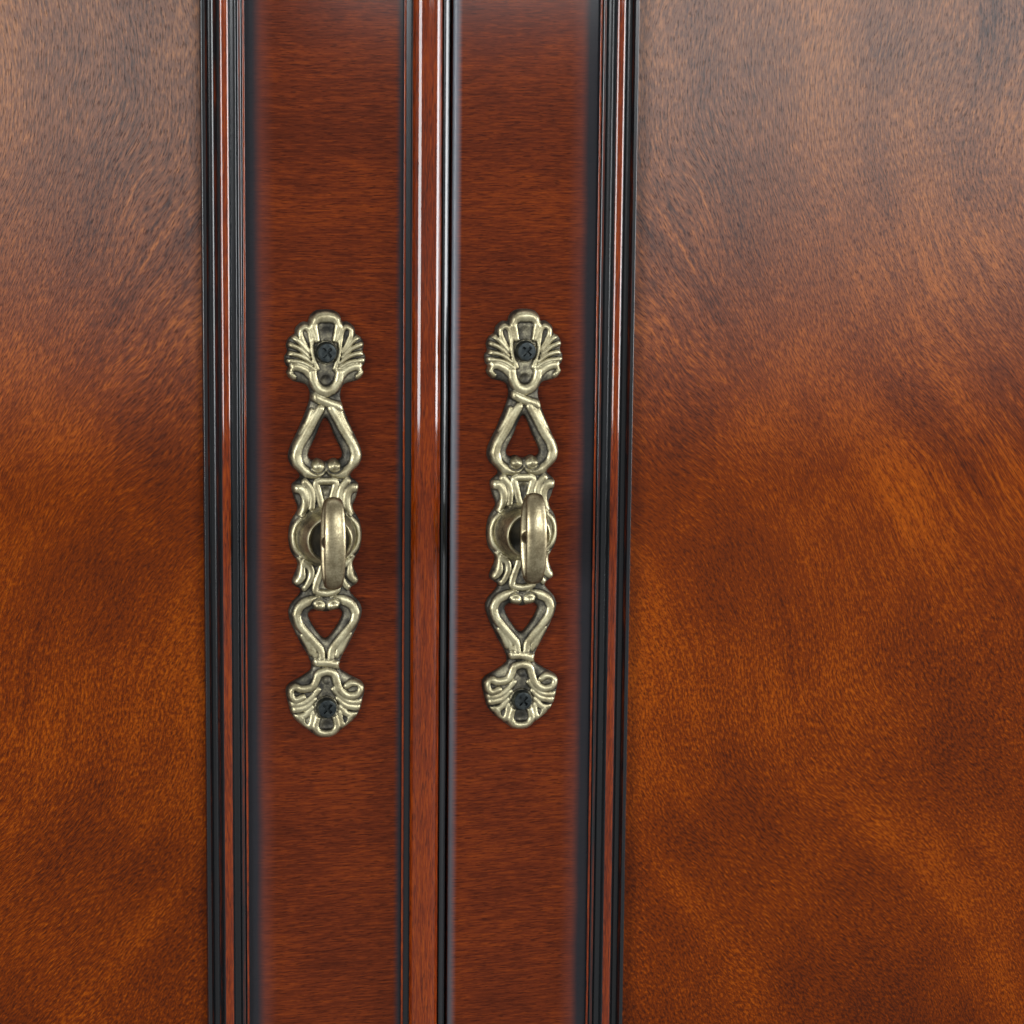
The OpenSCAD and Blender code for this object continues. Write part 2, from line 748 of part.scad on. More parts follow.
// A meeting stile, its meeting edge on X = 0, rounded in front and bevelled at the back
module meeting_stile(w, edge_round) {
    linear_extrude(height = door_z[1] - door_z[0])
        polygon(concat(
            edge_round > 0 ? arc([edge_round, edge_round], edge_round, 180, 270) : [[0, 0]],
            [[w, 0], [w, door_t], [meeting_bevel, door_t]]));
}
module left_door_stiles() {
    color(mahogany) difference() {
        union() {
            span([left_door_x[0], left_sight_x[0]], door_y, door_z);
            translate([left_door_x[1], face_y, door_z[0]]) mirror([1, 0, 0])
                meeting_stile(meeting_stile_w, 0);
        }
        panel_groove(left_sight_x, door_z);
        mirror([1, 0, 0]) {
            leaf_pockets([door_leaf_x[0], door_leaf_x[1] + past]);
            at_door_screws() hinge_screw_form(hinge_screw_play);
        }
        plate_screw_holes(handle_x[0]);
    }
}
module right_door_stiles() {
    color(mahogany) difference() {
        union() {
            span([right_sight_x[1], right_door_x[1]], door_y, door_z);
            translate([right_door_x[0], face_y, door_z[0]])
                meeting_stile(frame_stile_w, meeting_round);
        }
        panel_groove(right_sight_x, door_z);
        leaf_pockets([door_leaf_x[0], door_leaf_x[1] + past]);
        at_door_screws() hinge_screw_form(hinge_screw_play);
        plate_screw_holes(handle_x[1]);
    }
}
tongue_play = 0.1;
module door_rails(sight_x) {
    tongue = groove_depth - panel_play;
    color(mahogany) difference() {
        for (z = [[door_z[0], sight_z[0]], [sight_z[1], door_z[1]]]) {
            span(sight_x, door_y, z);
            span(sight_x + tongue * [-1, 1], panel_y + tongue_play * [1, -1], z);
        }
        panel_groove(sight_x, sight_z);
    }
}
module left_door_rails() { door_rails(left_sight_x); }
module right_door_rails() { door_rails(right_sight_x); }
module door_panel(sight_x) {
    edge = groove_depth - panel_play;
    color(panel_wood)
        span(sight_x + edge * [-1, 1], panel_y + [0, -panel_play / 2], sight_z + edge * [-1, 1]);
}
module left_door_panel() { door_panel(left_sight_x); }
module right_door_panel() { door_panel(right_sight_x); }
module door_moulding(sight_x) {
    color(dark_mahogany)
        translate([(sight_x[0] + sight_x[1]) / 2, face_y, (sight_z[0] + sight_z[1]) / 2])
        moulding_ring(sight_x[1] - sight_x[0] + 2 * moulding_lap,
                      sight_z[1] - sight_z[0] + 2 * moulding_lap);
}
module left_door_moulding() { door_moulding(left_sight_x); }
module right_door_moulding() { door_moulding(right_sight_x); }

// Bead strip on the left door's meeting edge: across, and out from the door
strip_fillet = 0.8;
strip_groove = 1.8;
strip_edge_out = 1.2;
strip_groove_out = 0.6;
strip_round_w = astragal_w / 2 - strip_fillet - strip_groove;
astragal_profile = concat(
    [[0, 0], [0, strip_edge_out], [strip_fillet, strip_edge_out],
     [strip_fillet, strip_groove_out]],
    oval([astragal_w / 2, strip_groove_out], strip_round_w, astragal_h - strip_groove_out,
         180, 0),
    [[astragal_w - strip_fillet, strip_groove_out], [astragal_w - strip_fillet, strip_edge_out],
     [astragal_w, strip_edge_out], [astragal_w, 0]]
);
module astragal() {
    color(mahogany) translate([left_door_x[1] - astragal_w, face_y, door_z[0]])
        linear_extrude(height = door_z[1] - door_z[0])
        polygon([for (p = astragal_profile) [p[0], -p[1]]]);
}

// Handle plate, drawn at its own size from the middle of the handle: shell, neck, heart,
// cartouche, heart, neck and shell
drawn_l = 145;
drawn_w = 26.4;
plate_half = [
    [0, 72.5], [2.8, 71.8], [4.6, 69.6], [7.4, 67.4], [10.8, 63.6], [13.2, 57.4], [13, 51.8],
    [11, 49], [6.4, 47.6], [5.1, 44.2], [6, 40], [8.9, 32.8], [12.2, 25.4], [11.8, 21.2],
    [8.5, 17.2], [11.2, 14], [10.4, 9.6], [9.3, 6], [11.6, 1.6], [12.4, -3.4], [11.6, -8.4],
    [9.3, -12.8], [11.2, -18.8], [8.3, -22], [11.8, -26.6], [12.2, -31], [8.7, -39.1],
    [5.6, -44.8], [4.8, -48.6], [8, -51.2], [13.1, -54.6], [12.6, -60.4], [10.6, -65.6],
    [5, -70.4], [2.6, -72.1], [0, -72.5]
];
upper_heart_half = [
    [0, 36.5], [3.4, 29.8], [5.8, 24.4], [4.5, 22.3], [2.7, 22.9], [0, 21.8]
];
lower_heart_half = [
    [0, -29.2], [2.7, -28.6], [4.6, -28.4], [5.8, -30.4], [3.4, -35], [0, -38.4]
];
plate_screw_z = [58.4, -61.8];
hole_play = 0.3;
function drawn(p) = [p[0] * handle_w / drawn_w, p[1] * handle_l / drawn_l];
module drawn_shape(half) { polygon(smooth_loop([for (p = both_halves(half)) drawn(p)])); }
function screw_z(z) = handle_z + z * handle_l / drawn_l;

module handle_plate(x) {
    color(brass) difference() {
        union() {
            translate([x, face_y, handle_z]) rotate([90, 0, 0]) linear_extrude(height = plate_t)
                difference() {
                    drawn_shape(plate_half);
                    drawn_shape(upper_heart_half);
                    drawn_shape(lower_heart_half);
                }
            translate([x, face_y, boss_z]) rotate([90, 0, 0])
                cylinder(r1 = boss_foot_r, r2 = boss_end_r, h = boss_out, $fn = round_fn);
        }
        for (z = plate_screw_z) translate([x, face_y + past, screw_z(z)]) rotate([90, 0, 0])
            cylinder(r = screw_r + hole_play, h = plate_t + 2 * past, $fn = round_fn);
        translate([x, face_y + past, boss_z]) rotate([90, 0, 0])
            cylinder(r = stem_r + stem_play, h = boss_out + 2 * past, $fn = round_fn);
    }
}
module left_handle_plate() { handle_plate(handle_x[0]); }
module right_handle_plate() { handle_plate(handle_x[1]); }

// Bow: an oval ring on edge, like a key's, with a spoke across it and a stem into the boss
bow_depth = bow_out - boss_out - bow_gap;
bow_y = face_y - bow_out + bow_depth / 2;
spoke_h = 5;
stem_rest = 0.2;
module handle_bow(x) {
    color(brass) {
        translate([x - bow_w / 2, bow_y, boss_z]) rotate([90, 0, 90])
            linear_extrude(height = bow_w) {
                difference() {
                    polygon(ellipse(bow_depth / 2, bow_h / 2));
                    polygon(ellipse(bow_depth / 2 - bow_rim, bow_h / 2 - bow_rim));
                }
                square([bow_depth - bow_rim, spoke_h], center = true);
            }
        translate([x, face_y - stem_rest, boss_z]) rotate([90, 0, 0])
            cylinder(r = stem_r, h = boss_out + bow_gap + bow_rim / 2 - stem_rest, $fn = round_fn);
    }
}
module left_handle_bow() { handle_bow(handle_x[0]); }
module right_handle_bow() { handle_bow(handle_x[1]); }

// Cross-headed screws through the plate
screw_head_h = 2.2;
screw_head_bevel = 0.6;
cross_w = 1;
cross_l = 4;
cross_depth = 1.4;
pilot_play = 0.05;
module plate_screws(x) {
    color(black_steel) for (z = plate_screw_z) translate([x, face_y - plate_t, screw_z(z)])
        difference() {
            union() {
                rotate([90, 0, 0])
                    cylinder(r1 = screw_head_r, r2 = screw_head_r - screw_head_bevel,
                             h = screw_head_h, $fn = round_fn);
                rotate([-90, 0, 0]) cylinder(r = screw_r, h = screw_l, $fn = round_fn);
            }
            for (turn = [45, 135]) rotate([0, turn, 0])
                translate([-cross_l / 2, -screw_head_h - past, -cross_w / 2])
                cube([cross_l, cross_depth + past, cross_w]);
        }
}
module plate_screw_holes(x) {
    for (z = plate_screw_z) translate([x, face_y - past, screw_z(z)]) rotate([-90, 0, 0])
        cylinder(r = screw_r + pilot_play, h = screw_l - plate_t + 2 * past, $fn = round_fn);
}
module left_handle_screws() { plate_screws(handle_x[0]); }
module right_handle_screws() { plate_screws(handle_x[1]); }

// Turned knobs: rosette, neck and a flattened ball, drawn for a ball of radius 1
rosette = [[0, 0], [1.25, 0], [1.25, 0.12], [0.9, 0.35], [0.42, 0.5]];
neck_r = 0.42;
neck_back = 1.4;
ball_back = 0.75;
ball_core = 0.45;
ball_h = 0.6;
module knob(x, z, r, out) {
    translate([x, face_y, z]) rotate([90, 0, 0]) rotate_extrude($fn = round_fn)
        polygon(concat(
            r * rosette,
            [[r * neck_r, out - r * neck_back]],
            oval([r * ball_core, out - r * ball_back], r * (1 - ball_core), r * ball_h, 270, 450),
            [[0, out]]));
}

// Drawers: sides and front grooved for the bottom, the back standing on it
drawer_groove = 5;
groove_play = 0.2;
left_drawer_x = [-opening_x + edge_gap, -drawer_upright_w / 2 - edge_gap];
drawer_front_z = [drawer_floor_z + edge_gap, drawer_top_z - edge_gap];
drawer_side_z = [drawer_floor_z + running_play, drawer_top_z - drawer_headroom];
drawer_bottom_z = [drawer_side_z[0] + drawer_bottom_rise,
                   drawer_side_z[0] + drawer_bottom_rise + drawer_bottom_t];
drawer_back_y = [face_y + drawer_l - drawer_side_t, face_y + drawer_l];
drawer_inner_x = left_drawer_x + drawer_side_t * [1, -1];
bottom_groove_x = drawer_inner_x + drawer_groove * [-1, 1];
module bottom_groove() {
    span(bottom_groove_x, [face_y + drawer_front_t - drawer_groove, drawer_back_y[1] + past],
         drawer_bottom_z);
}
module drawer_front() {
    color(mahogany) difference() {
        span(left_drawer_x, [face_y, face_y + drawer_front_t], drawer_front_z);
        bottom_groove();
    }
}
module drawer_sides() {
    color(inside_wood) difference() {
        for (x = [[left_drawer_x[0], drawer_inner_x[0]], [drawer_inner_x[1], left_drawer_x[1]]])
            span(x, [face_y + drawer_front_t, drawer_back_y[1]], drawer_side_z);
        bottom_groove();
    }
}
module drawer_back() {
    color(inside_wood) span(drawer_inner_x, drawer_back_y, [drawer_bottom_z[1], drawer_side_z[1]]);
}
module drawer_bottom() {
    color(inside_wood)
        span(bottom_groove_x + groove_play * [1, -1],
             [face_y + drawer_front_t - drawer_groove + groove_play, drawer_back_y[1]],
             [drawer_bottom_z[0], drawer_bottom_z[1]]);
}
module drawer_knobs() {
    middle = (left_drawer_x[0] + left_drawer_x[1]) / 2;
    color(brass) for (side = [-1, 1])
        knob(middle + side * knob_spacing / 2, (drawer_front_z[0] + drawer_front_z[1]) / 2,
             knob_r, knob_out);
}
module left_drawer_front() { drawer_front(); }
module left_drawer_sides() { drawer_sides(); }
module left_drawer_back() { drawer_back(); }
module left_drawer_bottom() { drawer_bottom(); }
module left_drawer_knobs() { drawer_knobs(); }
module right_drawer_front() { mirror([1, 0, 0]) drawer_front(); }
module right_drawer_sides() { mirror([1, 0, 0]) drawer_sides(); }
module right_drawer_back() { mirror([1, 0, 0]) drawer_back(); }
module right_drawer_bottom() { mirror([1, 0, 0]) drawer_bottom(); }
module right_drawer_knobs() { mirror([1, 0, 0]) drawer_knobs(); }

// Mixing slide over the doors
slide_z = [slot_floor_z + running_play, slot_floor_z + running_play + slide_t];
module mixing_slide() {
    color(mahogany)
        span([-opening_x + edge_gap, opening_x - edge_gap], [face_y, face_y + slide_l], slide_z);
}
module slide_knobs() {
    color(brass) for (side = [-1, 1])
        knob(side * slide_knob_spacing / 2, (slide_z[0] + slide_z[1]) / 2,
             slide_knob_r, slide_knob_out);
}

side_frames();
side_panels();
side_mouldings();
bottom_board();
back_panel();
top_board();
top_moulding();
drawer_board();
cupboard_ceiling();
centre_partition();
drawer_partition();
face_stiles();
face_rails();
base_moulding();
front_feet();
back_feet();
foot_blocks();
side_guides();
shelves();
shelf_bearers();
glass_rack_spacers();
glass_rack_rails();
bottle_rails();
door_catches();
case_hinge_leaves();
case_hinge_screws();
hinge_pins();
left_door_stiles();
left_door_rails();
left_door_panel();
left_door_moulding();
astragal();
left_handle_plate();
left_handle_bow();
left_handle_screws();
left_door_leaves();
left_door_hinge_screws();
left_strike();
right_door_stiles();
right_door_rails();
right_door_panel();
right_door_moulding();
right_handle_plate();
right_handle_bow();
right_handle_screws();
right_door_leaves();
right_door_hinge_screws();
right_strike();
left_drawer_front();
left_drawer_sides();
left_drawer_back();
left_drawer_bottom();
left_drawer_knobs();
right_drawer_front();
right_drawer_sides();
right_drawer_back();
right_drawer_bottom();
right_drawer_knobs();
mixing_slide();
slide_knobs();
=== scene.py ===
import math

import bpy
import numpy as np
from mathutils import Matrix, Vector
from mathutils.geometry import delaunay_2d_cdt


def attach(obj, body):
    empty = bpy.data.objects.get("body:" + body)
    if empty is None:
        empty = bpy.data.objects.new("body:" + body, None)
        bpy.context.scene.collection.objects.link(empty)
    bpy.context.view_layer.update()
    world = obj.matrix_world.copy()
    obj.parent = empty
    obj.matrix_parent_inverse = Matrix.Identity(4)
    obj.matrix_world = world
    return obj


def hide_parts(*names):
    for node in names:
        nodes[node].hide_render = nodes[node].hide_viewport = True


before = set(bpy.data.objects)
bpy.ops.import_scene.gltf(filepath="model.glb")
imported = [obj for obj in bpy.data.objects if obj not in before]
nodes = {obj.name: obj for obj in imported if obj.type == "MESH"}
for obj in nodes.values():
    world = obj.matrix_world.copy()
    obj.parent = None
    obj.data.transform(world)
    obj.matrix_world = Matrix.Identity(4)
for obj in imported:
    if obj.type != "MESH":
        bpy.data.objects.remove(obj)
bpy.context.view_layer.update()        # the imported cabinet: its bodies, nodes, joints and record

# Lengths below are millimetres in the frame of the cabinet: X to the right, Y to the back,
# Z up, the floor at Z = 0. Meshes and materials are made in metres.
MM = 0.001

# Main sizes of the cabinet, as in the part's source
FACE_Y = -209.0
HALF_W = 479.0
SIDE_HOLE_Y = (-129.0, 177.0)
SIDE_HOLE_Z = (169.0, 978.0)
DOOR_Z = (150.5, 827.5)
SIGHT_Z = (219.5, 758.5)
SIGHT_X = {"left": (-376.5, -67.85), "right": (65.25, 376.5)}
GAP_X = 7.75
ASTRAGAL_W = 15.5
HANDLE_X = {"left": -34.55, "right": 33.25}
HANDLE_Z = 520.0
MOULDING_LAP = 7.0
PANEL_RECESS = 4.0
LEFT_DOOR_EDGE_X = GAP_X - 0.5


# Meshes

def make_piece(name, points, faces, body, node, material, sharp):
    """A mesh from points in millimetres that rides on a body in the place of a CAD node.

    It is shaded smooth, but for the edges sharper than the angle.
    """
    mesh = bpy.data.meshes.new(name)
    mesh.from_pydata([Vector(p) * MM for p in points], [], faces)
    mesh.validate()
    mesh.shade_smooth()
    mesh.set_sharp_from_angle(angle=math.radians(sharp))
    mesh.materials.append(material)
    piece = bpy.data.objects.new(name, mesh)
    bpy.context.scene.collection.objects.link(piece)
    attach(piece, body)
    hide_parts(node)
    return piece


def add_attribute(piece, name, values):
    """One number for each point of a mesh, read by its material."""
    layer = piece.data.attributes.new(name, "FLOAT", "POINT")
    layer.data.foreach_set("value", values)


def add_part(points, faces, part_points, part_faces):
    """Adds a part of a mesh to it, its faces counted on from the mesh's points."""
    first = len(points)
    points += part_points
    faces += [tuple(first + i for i in face) for face in part_faces]


def arc(centre, radii, start, end, steps):
    """Points of an oval arc, the angles in degrees."""
    turns = [math.radians(start + (end - start) * i / steps) for i in range(steps + 1)]
    return [(centre[0] + radii[0] * math.cos(t), centre[1] + radii[1] * math.sin(t))
            for t in turns]


# Materials

def colour(red, green, blue):
    """A colour as it is read from a picture, 0 to 255, in Blender's linear values."""
    def linear(value):
        value = value / 255
        return value / 12.92 if value <= 0.04045 else ((value + 0.055) / 1.055) ** 2.4
    return (linear(red), linear(green), linear(blue), 1.0)


class Graph:
    """A node material, with short names for the nodes used here."""

    def __init__(self, name):
        self.material = bpy.data.materials.new(name)
        self.material.use_nodes = True
        self.tree = self.material.node_tree
        self.shader = self.tree.nodes["Principled BSDF"]

    def node(self, kind, **settings):
        node = self.tree.nodes.new("ShaderNode" + kind)
        for key, value in settings.items():
            setattr(node, key, value)
        return node

    def feed(self, value, socket):
        if isinstance(value, bpy.types.NodeSocket):
            self.tree.links.new(value, socket)
        else:
            socket.default_value = value

    def object_place(self):
        return self.node("TexCoord").outputs["Object"]

    def attribute(self, name, output="Fac"):
        return self.node("Attribute", attribute_name=name).outputs[output]

    def math(self, operation, a, b=0.0):
        node = self.node("Math", operation=operation)
        self.feed(a, node.inputs[0])
        self.feed(b, node.inputs[1])
        return node.outputs[0]

    def plus(self, a, b):
        return self.math("ADD", a, b)

    def minus(self, a, b):
        return self.math("SUBTRACT", a, b)

    def times(self, a, b):
        return self.math("MULTIPLY", a, b)

    def scaled(self, vector, factors):
        node = self.node("VectorMath", operation="MULTIPLY")
        self.feed(vector, node.inputs[0])
        node.inputs[1].default_value = factors
        return node.outputs[0]

    def split(self, vector):
        node = self.node("SeparateXYZ")
        self.feed(vector, node.inputs[0])
        return node.outputs[0], node.outputs[1], node.outputs[2]

    def join(self, x, y, z):
        node = self.node("CombineXYZ")
        for value, socket in zip((x, y, z), node.inputs):
            self.feed(value, socket)
        return node.outputs[0]

    def noise(self, vector, scales, detail=2.0, roughness=0.5):
        """Noise between about 0.2 and 0.8; the scales are its cells per metre on each axis."""
        node = self.node("TexNoise")
        self.feed(self.scaled(vector, scales), node.inputs["Vector"])
        node.inputs["Scale"].default_value = 1.0
        node.inputs["Detail"].default_value = detail
        node.inputs["Roughness"].default_value = roughness
        return node.outputs["Fac"]

    def rise(self, value, low, high):
        """Smoothly from 0 below low to 1 above high; a larger low than high turns it round."""
        node = self.node("MapRange", interpolation_type="SMOOTHSTEP")
        self.feed(value, node.inputs["Value"])
        if low < high:
            limits, ends = (low, high), (0.0, 1.0)
        else:
            limits, ends = (high, low), (1.0, 0.0)
        node.inputs["From Min"].default_value, node.inputs["From Max"].default_value = limits
        node.inputs["To Min"].default_value, node.inputs["To Max"].default_value = ends
        return node.outputs["Result"]

    def blend(self, factor, a, b):
        """Colour a where the factor is 0 and b where it is 1."""
        node = self.node("Mix", data_type="RGBA")
        for value, index in ((factor, 0), (a, 6), (b, 7)):
            self.feed(value, node.inputs[index])
        return node.outputs[2]

    def blend_values(self, factor, a, b):
        """Value a where the factor is 0 and b where it is 1."""
        node = self.node("Mix", data_type="FLOAT")
        for value, index in ((factor, 0), (a, 2), (b, 3)):
            self.feed(value, node.inputs[index])
        return node.outputs[0]

    def ramp(self, value, stops):
        node = self.node("ValToRGB")
        self.feed(value, node.inputs[0])
        elements = node.color_ramp.elements
        while len(elements) < len(stops):
            elements.new(0.5)
        for element, (position, tone) in zip(elements, stops):
            element.position = position
            element.color = tone
        return node.outputs[0]

    def bump(self, height, distance):
        """Small height differences, the distance in metres for a height of 1."""
        node = self.node("Bump")
        node.inputs["Strength"].default_value = 1.0
        node.inputs["Distance"].default_value = distance
        self.feed(height, node.inputs["Height"])
        self.feed(node.outputs[0], self.shader.inputs["Normal"])

    def paint(self, tone):
        """The colour of the wood or metal under its coat."""
        self.feed(tone, self.shader.inputs["Base Color"])

    def set(self, **values):
        """Plain values on the shader's own sockets, underscores for spaces."""
        for key, value in values.items():
            self.shader.inputs[key.replace("_", " ")].default_value = value


def lacquer(graph, gloss, coat_roughness, roughness):
    """A clear coat over stained wood."""
    graph.set(Roughness=roughness, Specular_IOR_Level=0.0, Coat_Weight=1.0,
              Coat_Roughness=coat_roughness, Coat_IOR=gloss)


def swing(graph, noise, share):
    """How far a noise lies from its middle, times a share."""
    return graph.times(graph.minus(noise, 0.5), share)


def total(graph, start, parts):
    """The start and all parts added up."""
    for part in parts:
        start = graph.plus(start, part)
    return start


def with_pores(graph, tone, pores, tones, share):
    """Wood whose pores are half covered by a share of its darkest tone."""
    dark = tuple(share * c for c in tones[0][:3]) + (1.0,)
    return graph.blend(graph.times(pores, 0.5), tone, dark)


def wood_tone(graph, place, tones, fineness=1.0):
    """The colour of straight-grained wood and its pores, from a place along, across, out."""
    along, across, out = graph.split(place)
    sway = swing(graph, graph.noise(place, (9, 20, 20), 1), 0.006)
    bent = graph.join(along, graph.plus(across, sway), out)
    bands = graph.noise(bent, (4, 38 * fineness, 30), 2)
    clouds = graph.noise(place, (34, 42, 30), 2)
    lines = graph.noise(bent, (170, 2100 * fineness, 500), 3, 0.65)
    flecks = graph.noise(bent, (60, 560 * fineness, 160), 3, 0.6)
    mix = total(graph, 0.5, [swing(graph, bands, 0.22), swing(graph, clouds, 0.2),
                             swing(graph, lines, 0.6), swing(graph, flecks, 0.2)])
    tone = graph.ramp(mix, [(0.3, tones[0]), (0.5, tones[1]), (0.7, tones[2])])
    pores = graph.rise(graph.noise(bent, (300, 2600 * fineness, 700), 1), 0.56, 0.70)
    return with_pores(graph, tone, pores, tones, 0.35), pores


# The duller lacquer inside the cabinet
SATIN = {"gloss": 1.25, "coat": 0.35}


def straight_wood(name, along, across, out, tones, gloss=1.22, coat=0.12, fineness=1.0):
    """Wood whose grain runs along one axis of the cabinet: each axis is 0, 1 or 2."""
    graph = Graph(name)
    axes = graph.split(graph.object_place())
    place = graph.join(axes[along], axes[across], axes[out])
    tone, pores = wood_tone(graph, place, tones, fineness)
    graph.paint(tone)
    graph.bump(pores, -0.00006)
    lacquer(graph, gloss, coat_roughness=coat, roughness=0.45)
    return graph


def ring_distance(graph, place, halves, middles):
    """How far outside a rectangle a place is, in metres."""
    side, height = [graph.minus(graph.math("ABSOLUTE", graph.minus(value, middle)), half)
                    for value, half, middle in zip(place, halves, middles)]
    return graph.math("MAXIMUM", side, height)


# Stains: the dark, the middle and the pale tone of each wood
STAIN = (colour(58, 20, 7), colour(89, 34, 13), colour(126, 54, 15))
PANEL_STAIN = (colour(60, 21, 5), colour(108, 42, 1), colour(156, 74, 4))
INSIDE_STAIN = (colour(96, 52, 30), colour(134, 80, 48), colour(164, 108, 68))
BEAD_STAIN = (colour(56, 14, 0), colour(107, 36, 0), colour(142, 59, 0))
EDGE_STAIN = (colour(58, 23, 12), colour(92, 38, 18), colour(126, 60, 22))
# The panels' tones under a painted haze of reflected light, used towards their tops
PAINTED_PANEL_HAZE_TONES = (colour(90, 82, 80), colour(131, 103, 90), colour(170, 126, 97))

# Dark glaze with painted shade beside the mouldings and in their quirks, the painted haze round
# it, and the painted sheen by the bead strip
GLAZE_AND_PAINTED_SHADE = colour(34, 38, 42)
QUIRK_GLAZE_AND_PAINTED_SHADE = colour(22, 24, 26)
PAINTED_FRAME_HAZE = colour(92, 52, 46)
PAINTED_EDGE_SHEEN = colour(130, 134, 141)

# How far these reach from an edge, in millimetres: where each has ended, and where it is full
GLAZE_AND_SHADE_REACH = (6.0, 2.4)
PAINTED_FRAME_HAZE_REACH = (10.5, 3.5)
STRIP_GLAZE_AND_SHADE_REACH = (3.4, 0.8)
STRIP_PAINTED_SHEEN_REACH = (4.2, 0.8)
FRONT_REACH = (1.5, 0.5)
# How much they cover where they are full; the painted sheen by the bead strip at the foot, and
# what it gains higher up
GLAZE_AND_SHADE_COVER = 0.95
PAINTED_FRAME_HAZE_COVER = 0.6
PAINTED_SHEEN_COVER, PAINTED_SHEEN_GAIN = 0.3, 0.6
PAINTED_PANEL_HAZE_COVER = 0.9

# How far the panels' streaks lean and turn to the side, in metres
LEAN, TURN = 0.105, 0.09
# Heights in metres between which the panels' figure, their painted haze and the painted sheen by
# the bead strip change
LEAN_Z = (0.66, 0.44)
TURN_Z = (0.47, 0.30)
FORK_Z = (0.575, 0.45)
LINED_Z = (0.36, 0.56)
DEEPER_Z = (0.48, 0.34)
PAINTED_PANEL_HAZE_Z = (0.526, 0.687)
PAINTED_SHEEN_Z = (0.38, 0.62)


def beside(graph, distance, reach):
    """1 at an edge and 0 beyond its reach; the distance is in metres."""
    return graph.rise(distance, reach[0] * MM, reach[1] * MM)


def door_veneer(name, along, across, sight_x):
    """Crossbanded veneer of a door frame, with dark glaze and painted shade beside the mouldings.
    """
    graph = straight_wood(name, along, across, 1, STAIN)
    x, y, z = graph.split(graph.object_place())
    middles = [(low + high) / 2 * MM for low, high in (sight_x, SIGHT_Z)]
    halves = [((high - low) / 2 + MOULDING_LAP) * MM for low, high in (sight_x, SIGHT_Z)]
    off = ring_distance(graph, (x, z), halves, middles)
    worn = swing(graph, graph.noise(graph.object_place(), (90, 90, 25), 3), 0.0016)
    off = graph.plus(off, worn)
    strip_edge = graph.minus(graph.math("ABSOLUTE", x), GAP_X * MM)
    # Dark glaze with painted shade beside the mouldings and beside the bead strip, on the front
    # face only.
    glaze_and_shade = graph.math("MAXIMUM", beside(graph, off, GLAZE_AND_SHADE_REACH),
                       beside(graph, strip_edge, STRIP_GLAZE_AND_SHADE_REACH))
    front = beside(graph, graph.minus(y, FACE_Y * MM), FRONT_REACH)
    tone = graph.shader.inputs["Base Color"].links[0].from_socket
    # Painted haze: a greyer band round the glaze beside the mouldings, on the front face.
    painted_frame_haze = graph.times(beside(graph, off, PAINTED_FRAME_HAZE_REACH), PAINTED_FRAME_HAZE_COVER)
    tone = graph.blend(graph.times(painted_frame_haze, front), tone, PAINTED_FRAME_HAZE)
    share = graph.times(glaze_and_shade, graph.times(front, GLAZE_AND_SHADE_COVER))
    tone = graph.blend(share, tone, GLAZE_AND_PAINTED_SHADE)
    # Painted sheen: a pale slate band on the right door's edge beside the bead strip, brighter
    # higher up.
    if sight_x[0] > 0:
        past_strip = graph.minus(x, GAP_X * MM)
        cover = graph.plus(graph.times(graph.rise(z, *PAINTED_SHEEN_Z), PAINTED_SHEEN_GAIN), PAINTED_SHEEN_COVER)
        painted_sheen = graph.times(beside(graph, past_strip, STRIP_PAINTED_SHEEN_REACH), cover)
        tone = graph.blend(graph.times(painted_sheen, front), tone, PAINTED_EDGE_SHEEN)
    graph.paint(tone)
    return graph.material


def figured_wood(name, across_axis, middle, tones):
    """A panel cut through a fork of the tree: streaks that lean and turn into fine flecks.

    The figure is mirrored about the middle of the cabinet, or starts at the given middle.
    """
    graph = Graph(name)
    axes = graph.split(graph.object_place())
    if middle is None:
        side = graph.math("ABSOLUTE", axes[across_axis])
    else:
        side = graph.minus(axes[across_axis], middle * MM)
    height = axes[2]
    place = graph.join(side, height, 0.0)
    lean = graph.times(graph.rise(height, *LEAN_Z), LEAN)
    turn = graph.times(graph.rise(height, *TURN_Z), TURN)
    swirl = swing(graph, graph.noise(place, (7, 5, 1), 1), 0.07)
    swirl_up = swing(graph, graph.noise(graph.join(height, side, 0.3), (5, 7, 1), 1), 0.09)
    ripple = swing(graph, graph.noise(place, (30, 20, 1), 1), 0.009)
    across = total(graph, side, [graph.times(part, -1.0)
                                 for part in (lean, turn, ripple)] + [swirl])
    lay = graph.join(graph.plus(height, swirl_up), across, 0.0)
    fork = graph.rise(height, *FORK_Z)
    bands = graph.noise(lay, (6, 40, 1), 2)
    cloud = graph.noise(place, (15, 12, 1), 3, 0.6)
    long_specks = graph.noise(lay, (260, 1250, 1), 3, 0.7)
    round_specks = graph.noise(lay, (640, 1050, 1), 3, 0.7)
    lines = graph.noise(lay, (34, 420, 1), 2, 0.55)
    lined = graph.rise(graph.noise(place, (12, 9, 1), 1), 0.46, 0.64)
    lined = graph.times(lined, graph.rise(height, *LINED_Z))
    specks = graph.blend_values(fork, long_specks, round_specks)
    deeper = graph.rise(height, *DEEPER_Z)
    mix = total(graph, 0.5, [
        swing(graph, bands, 0.25), swing(graph, cloud, 0.48),
        swing(graph, specks, 0.95),
        graph.times(lined, swing(graph, lines, 0.5)),
        graph.times(deeper, -0.07)])
    stops = (0.28, 0.5, 0.7)
    # Painted haze: towards their tops the panels turn to greyer, paler tones.
    painted_panel_haze = graph.times(graph.rise(height, *PAINTED_PANEL_HAZE_Z), PAINTED_PANEL_HAZE_COVER)
    tone = graph.blend(painted_panel_haze, graph.ramp(mix, list(zip(stops, tones))),
                       graph.ramp(mix, list(zip(stops, PAINTED_PANEL_HAZE_TONES))))
    pores = graph.rise(graph.noise(lay, (400, 2500, 1), 1), 0.55, 0.68)
    graph.paint(with_pores(graph, tone, pores, tones, 0.4))
    graph.bump(pores, -0.00006)
    lacquer(graph, gloss=1.21, coat_roughness=0.30, roughness=0.45)
    return graph.material


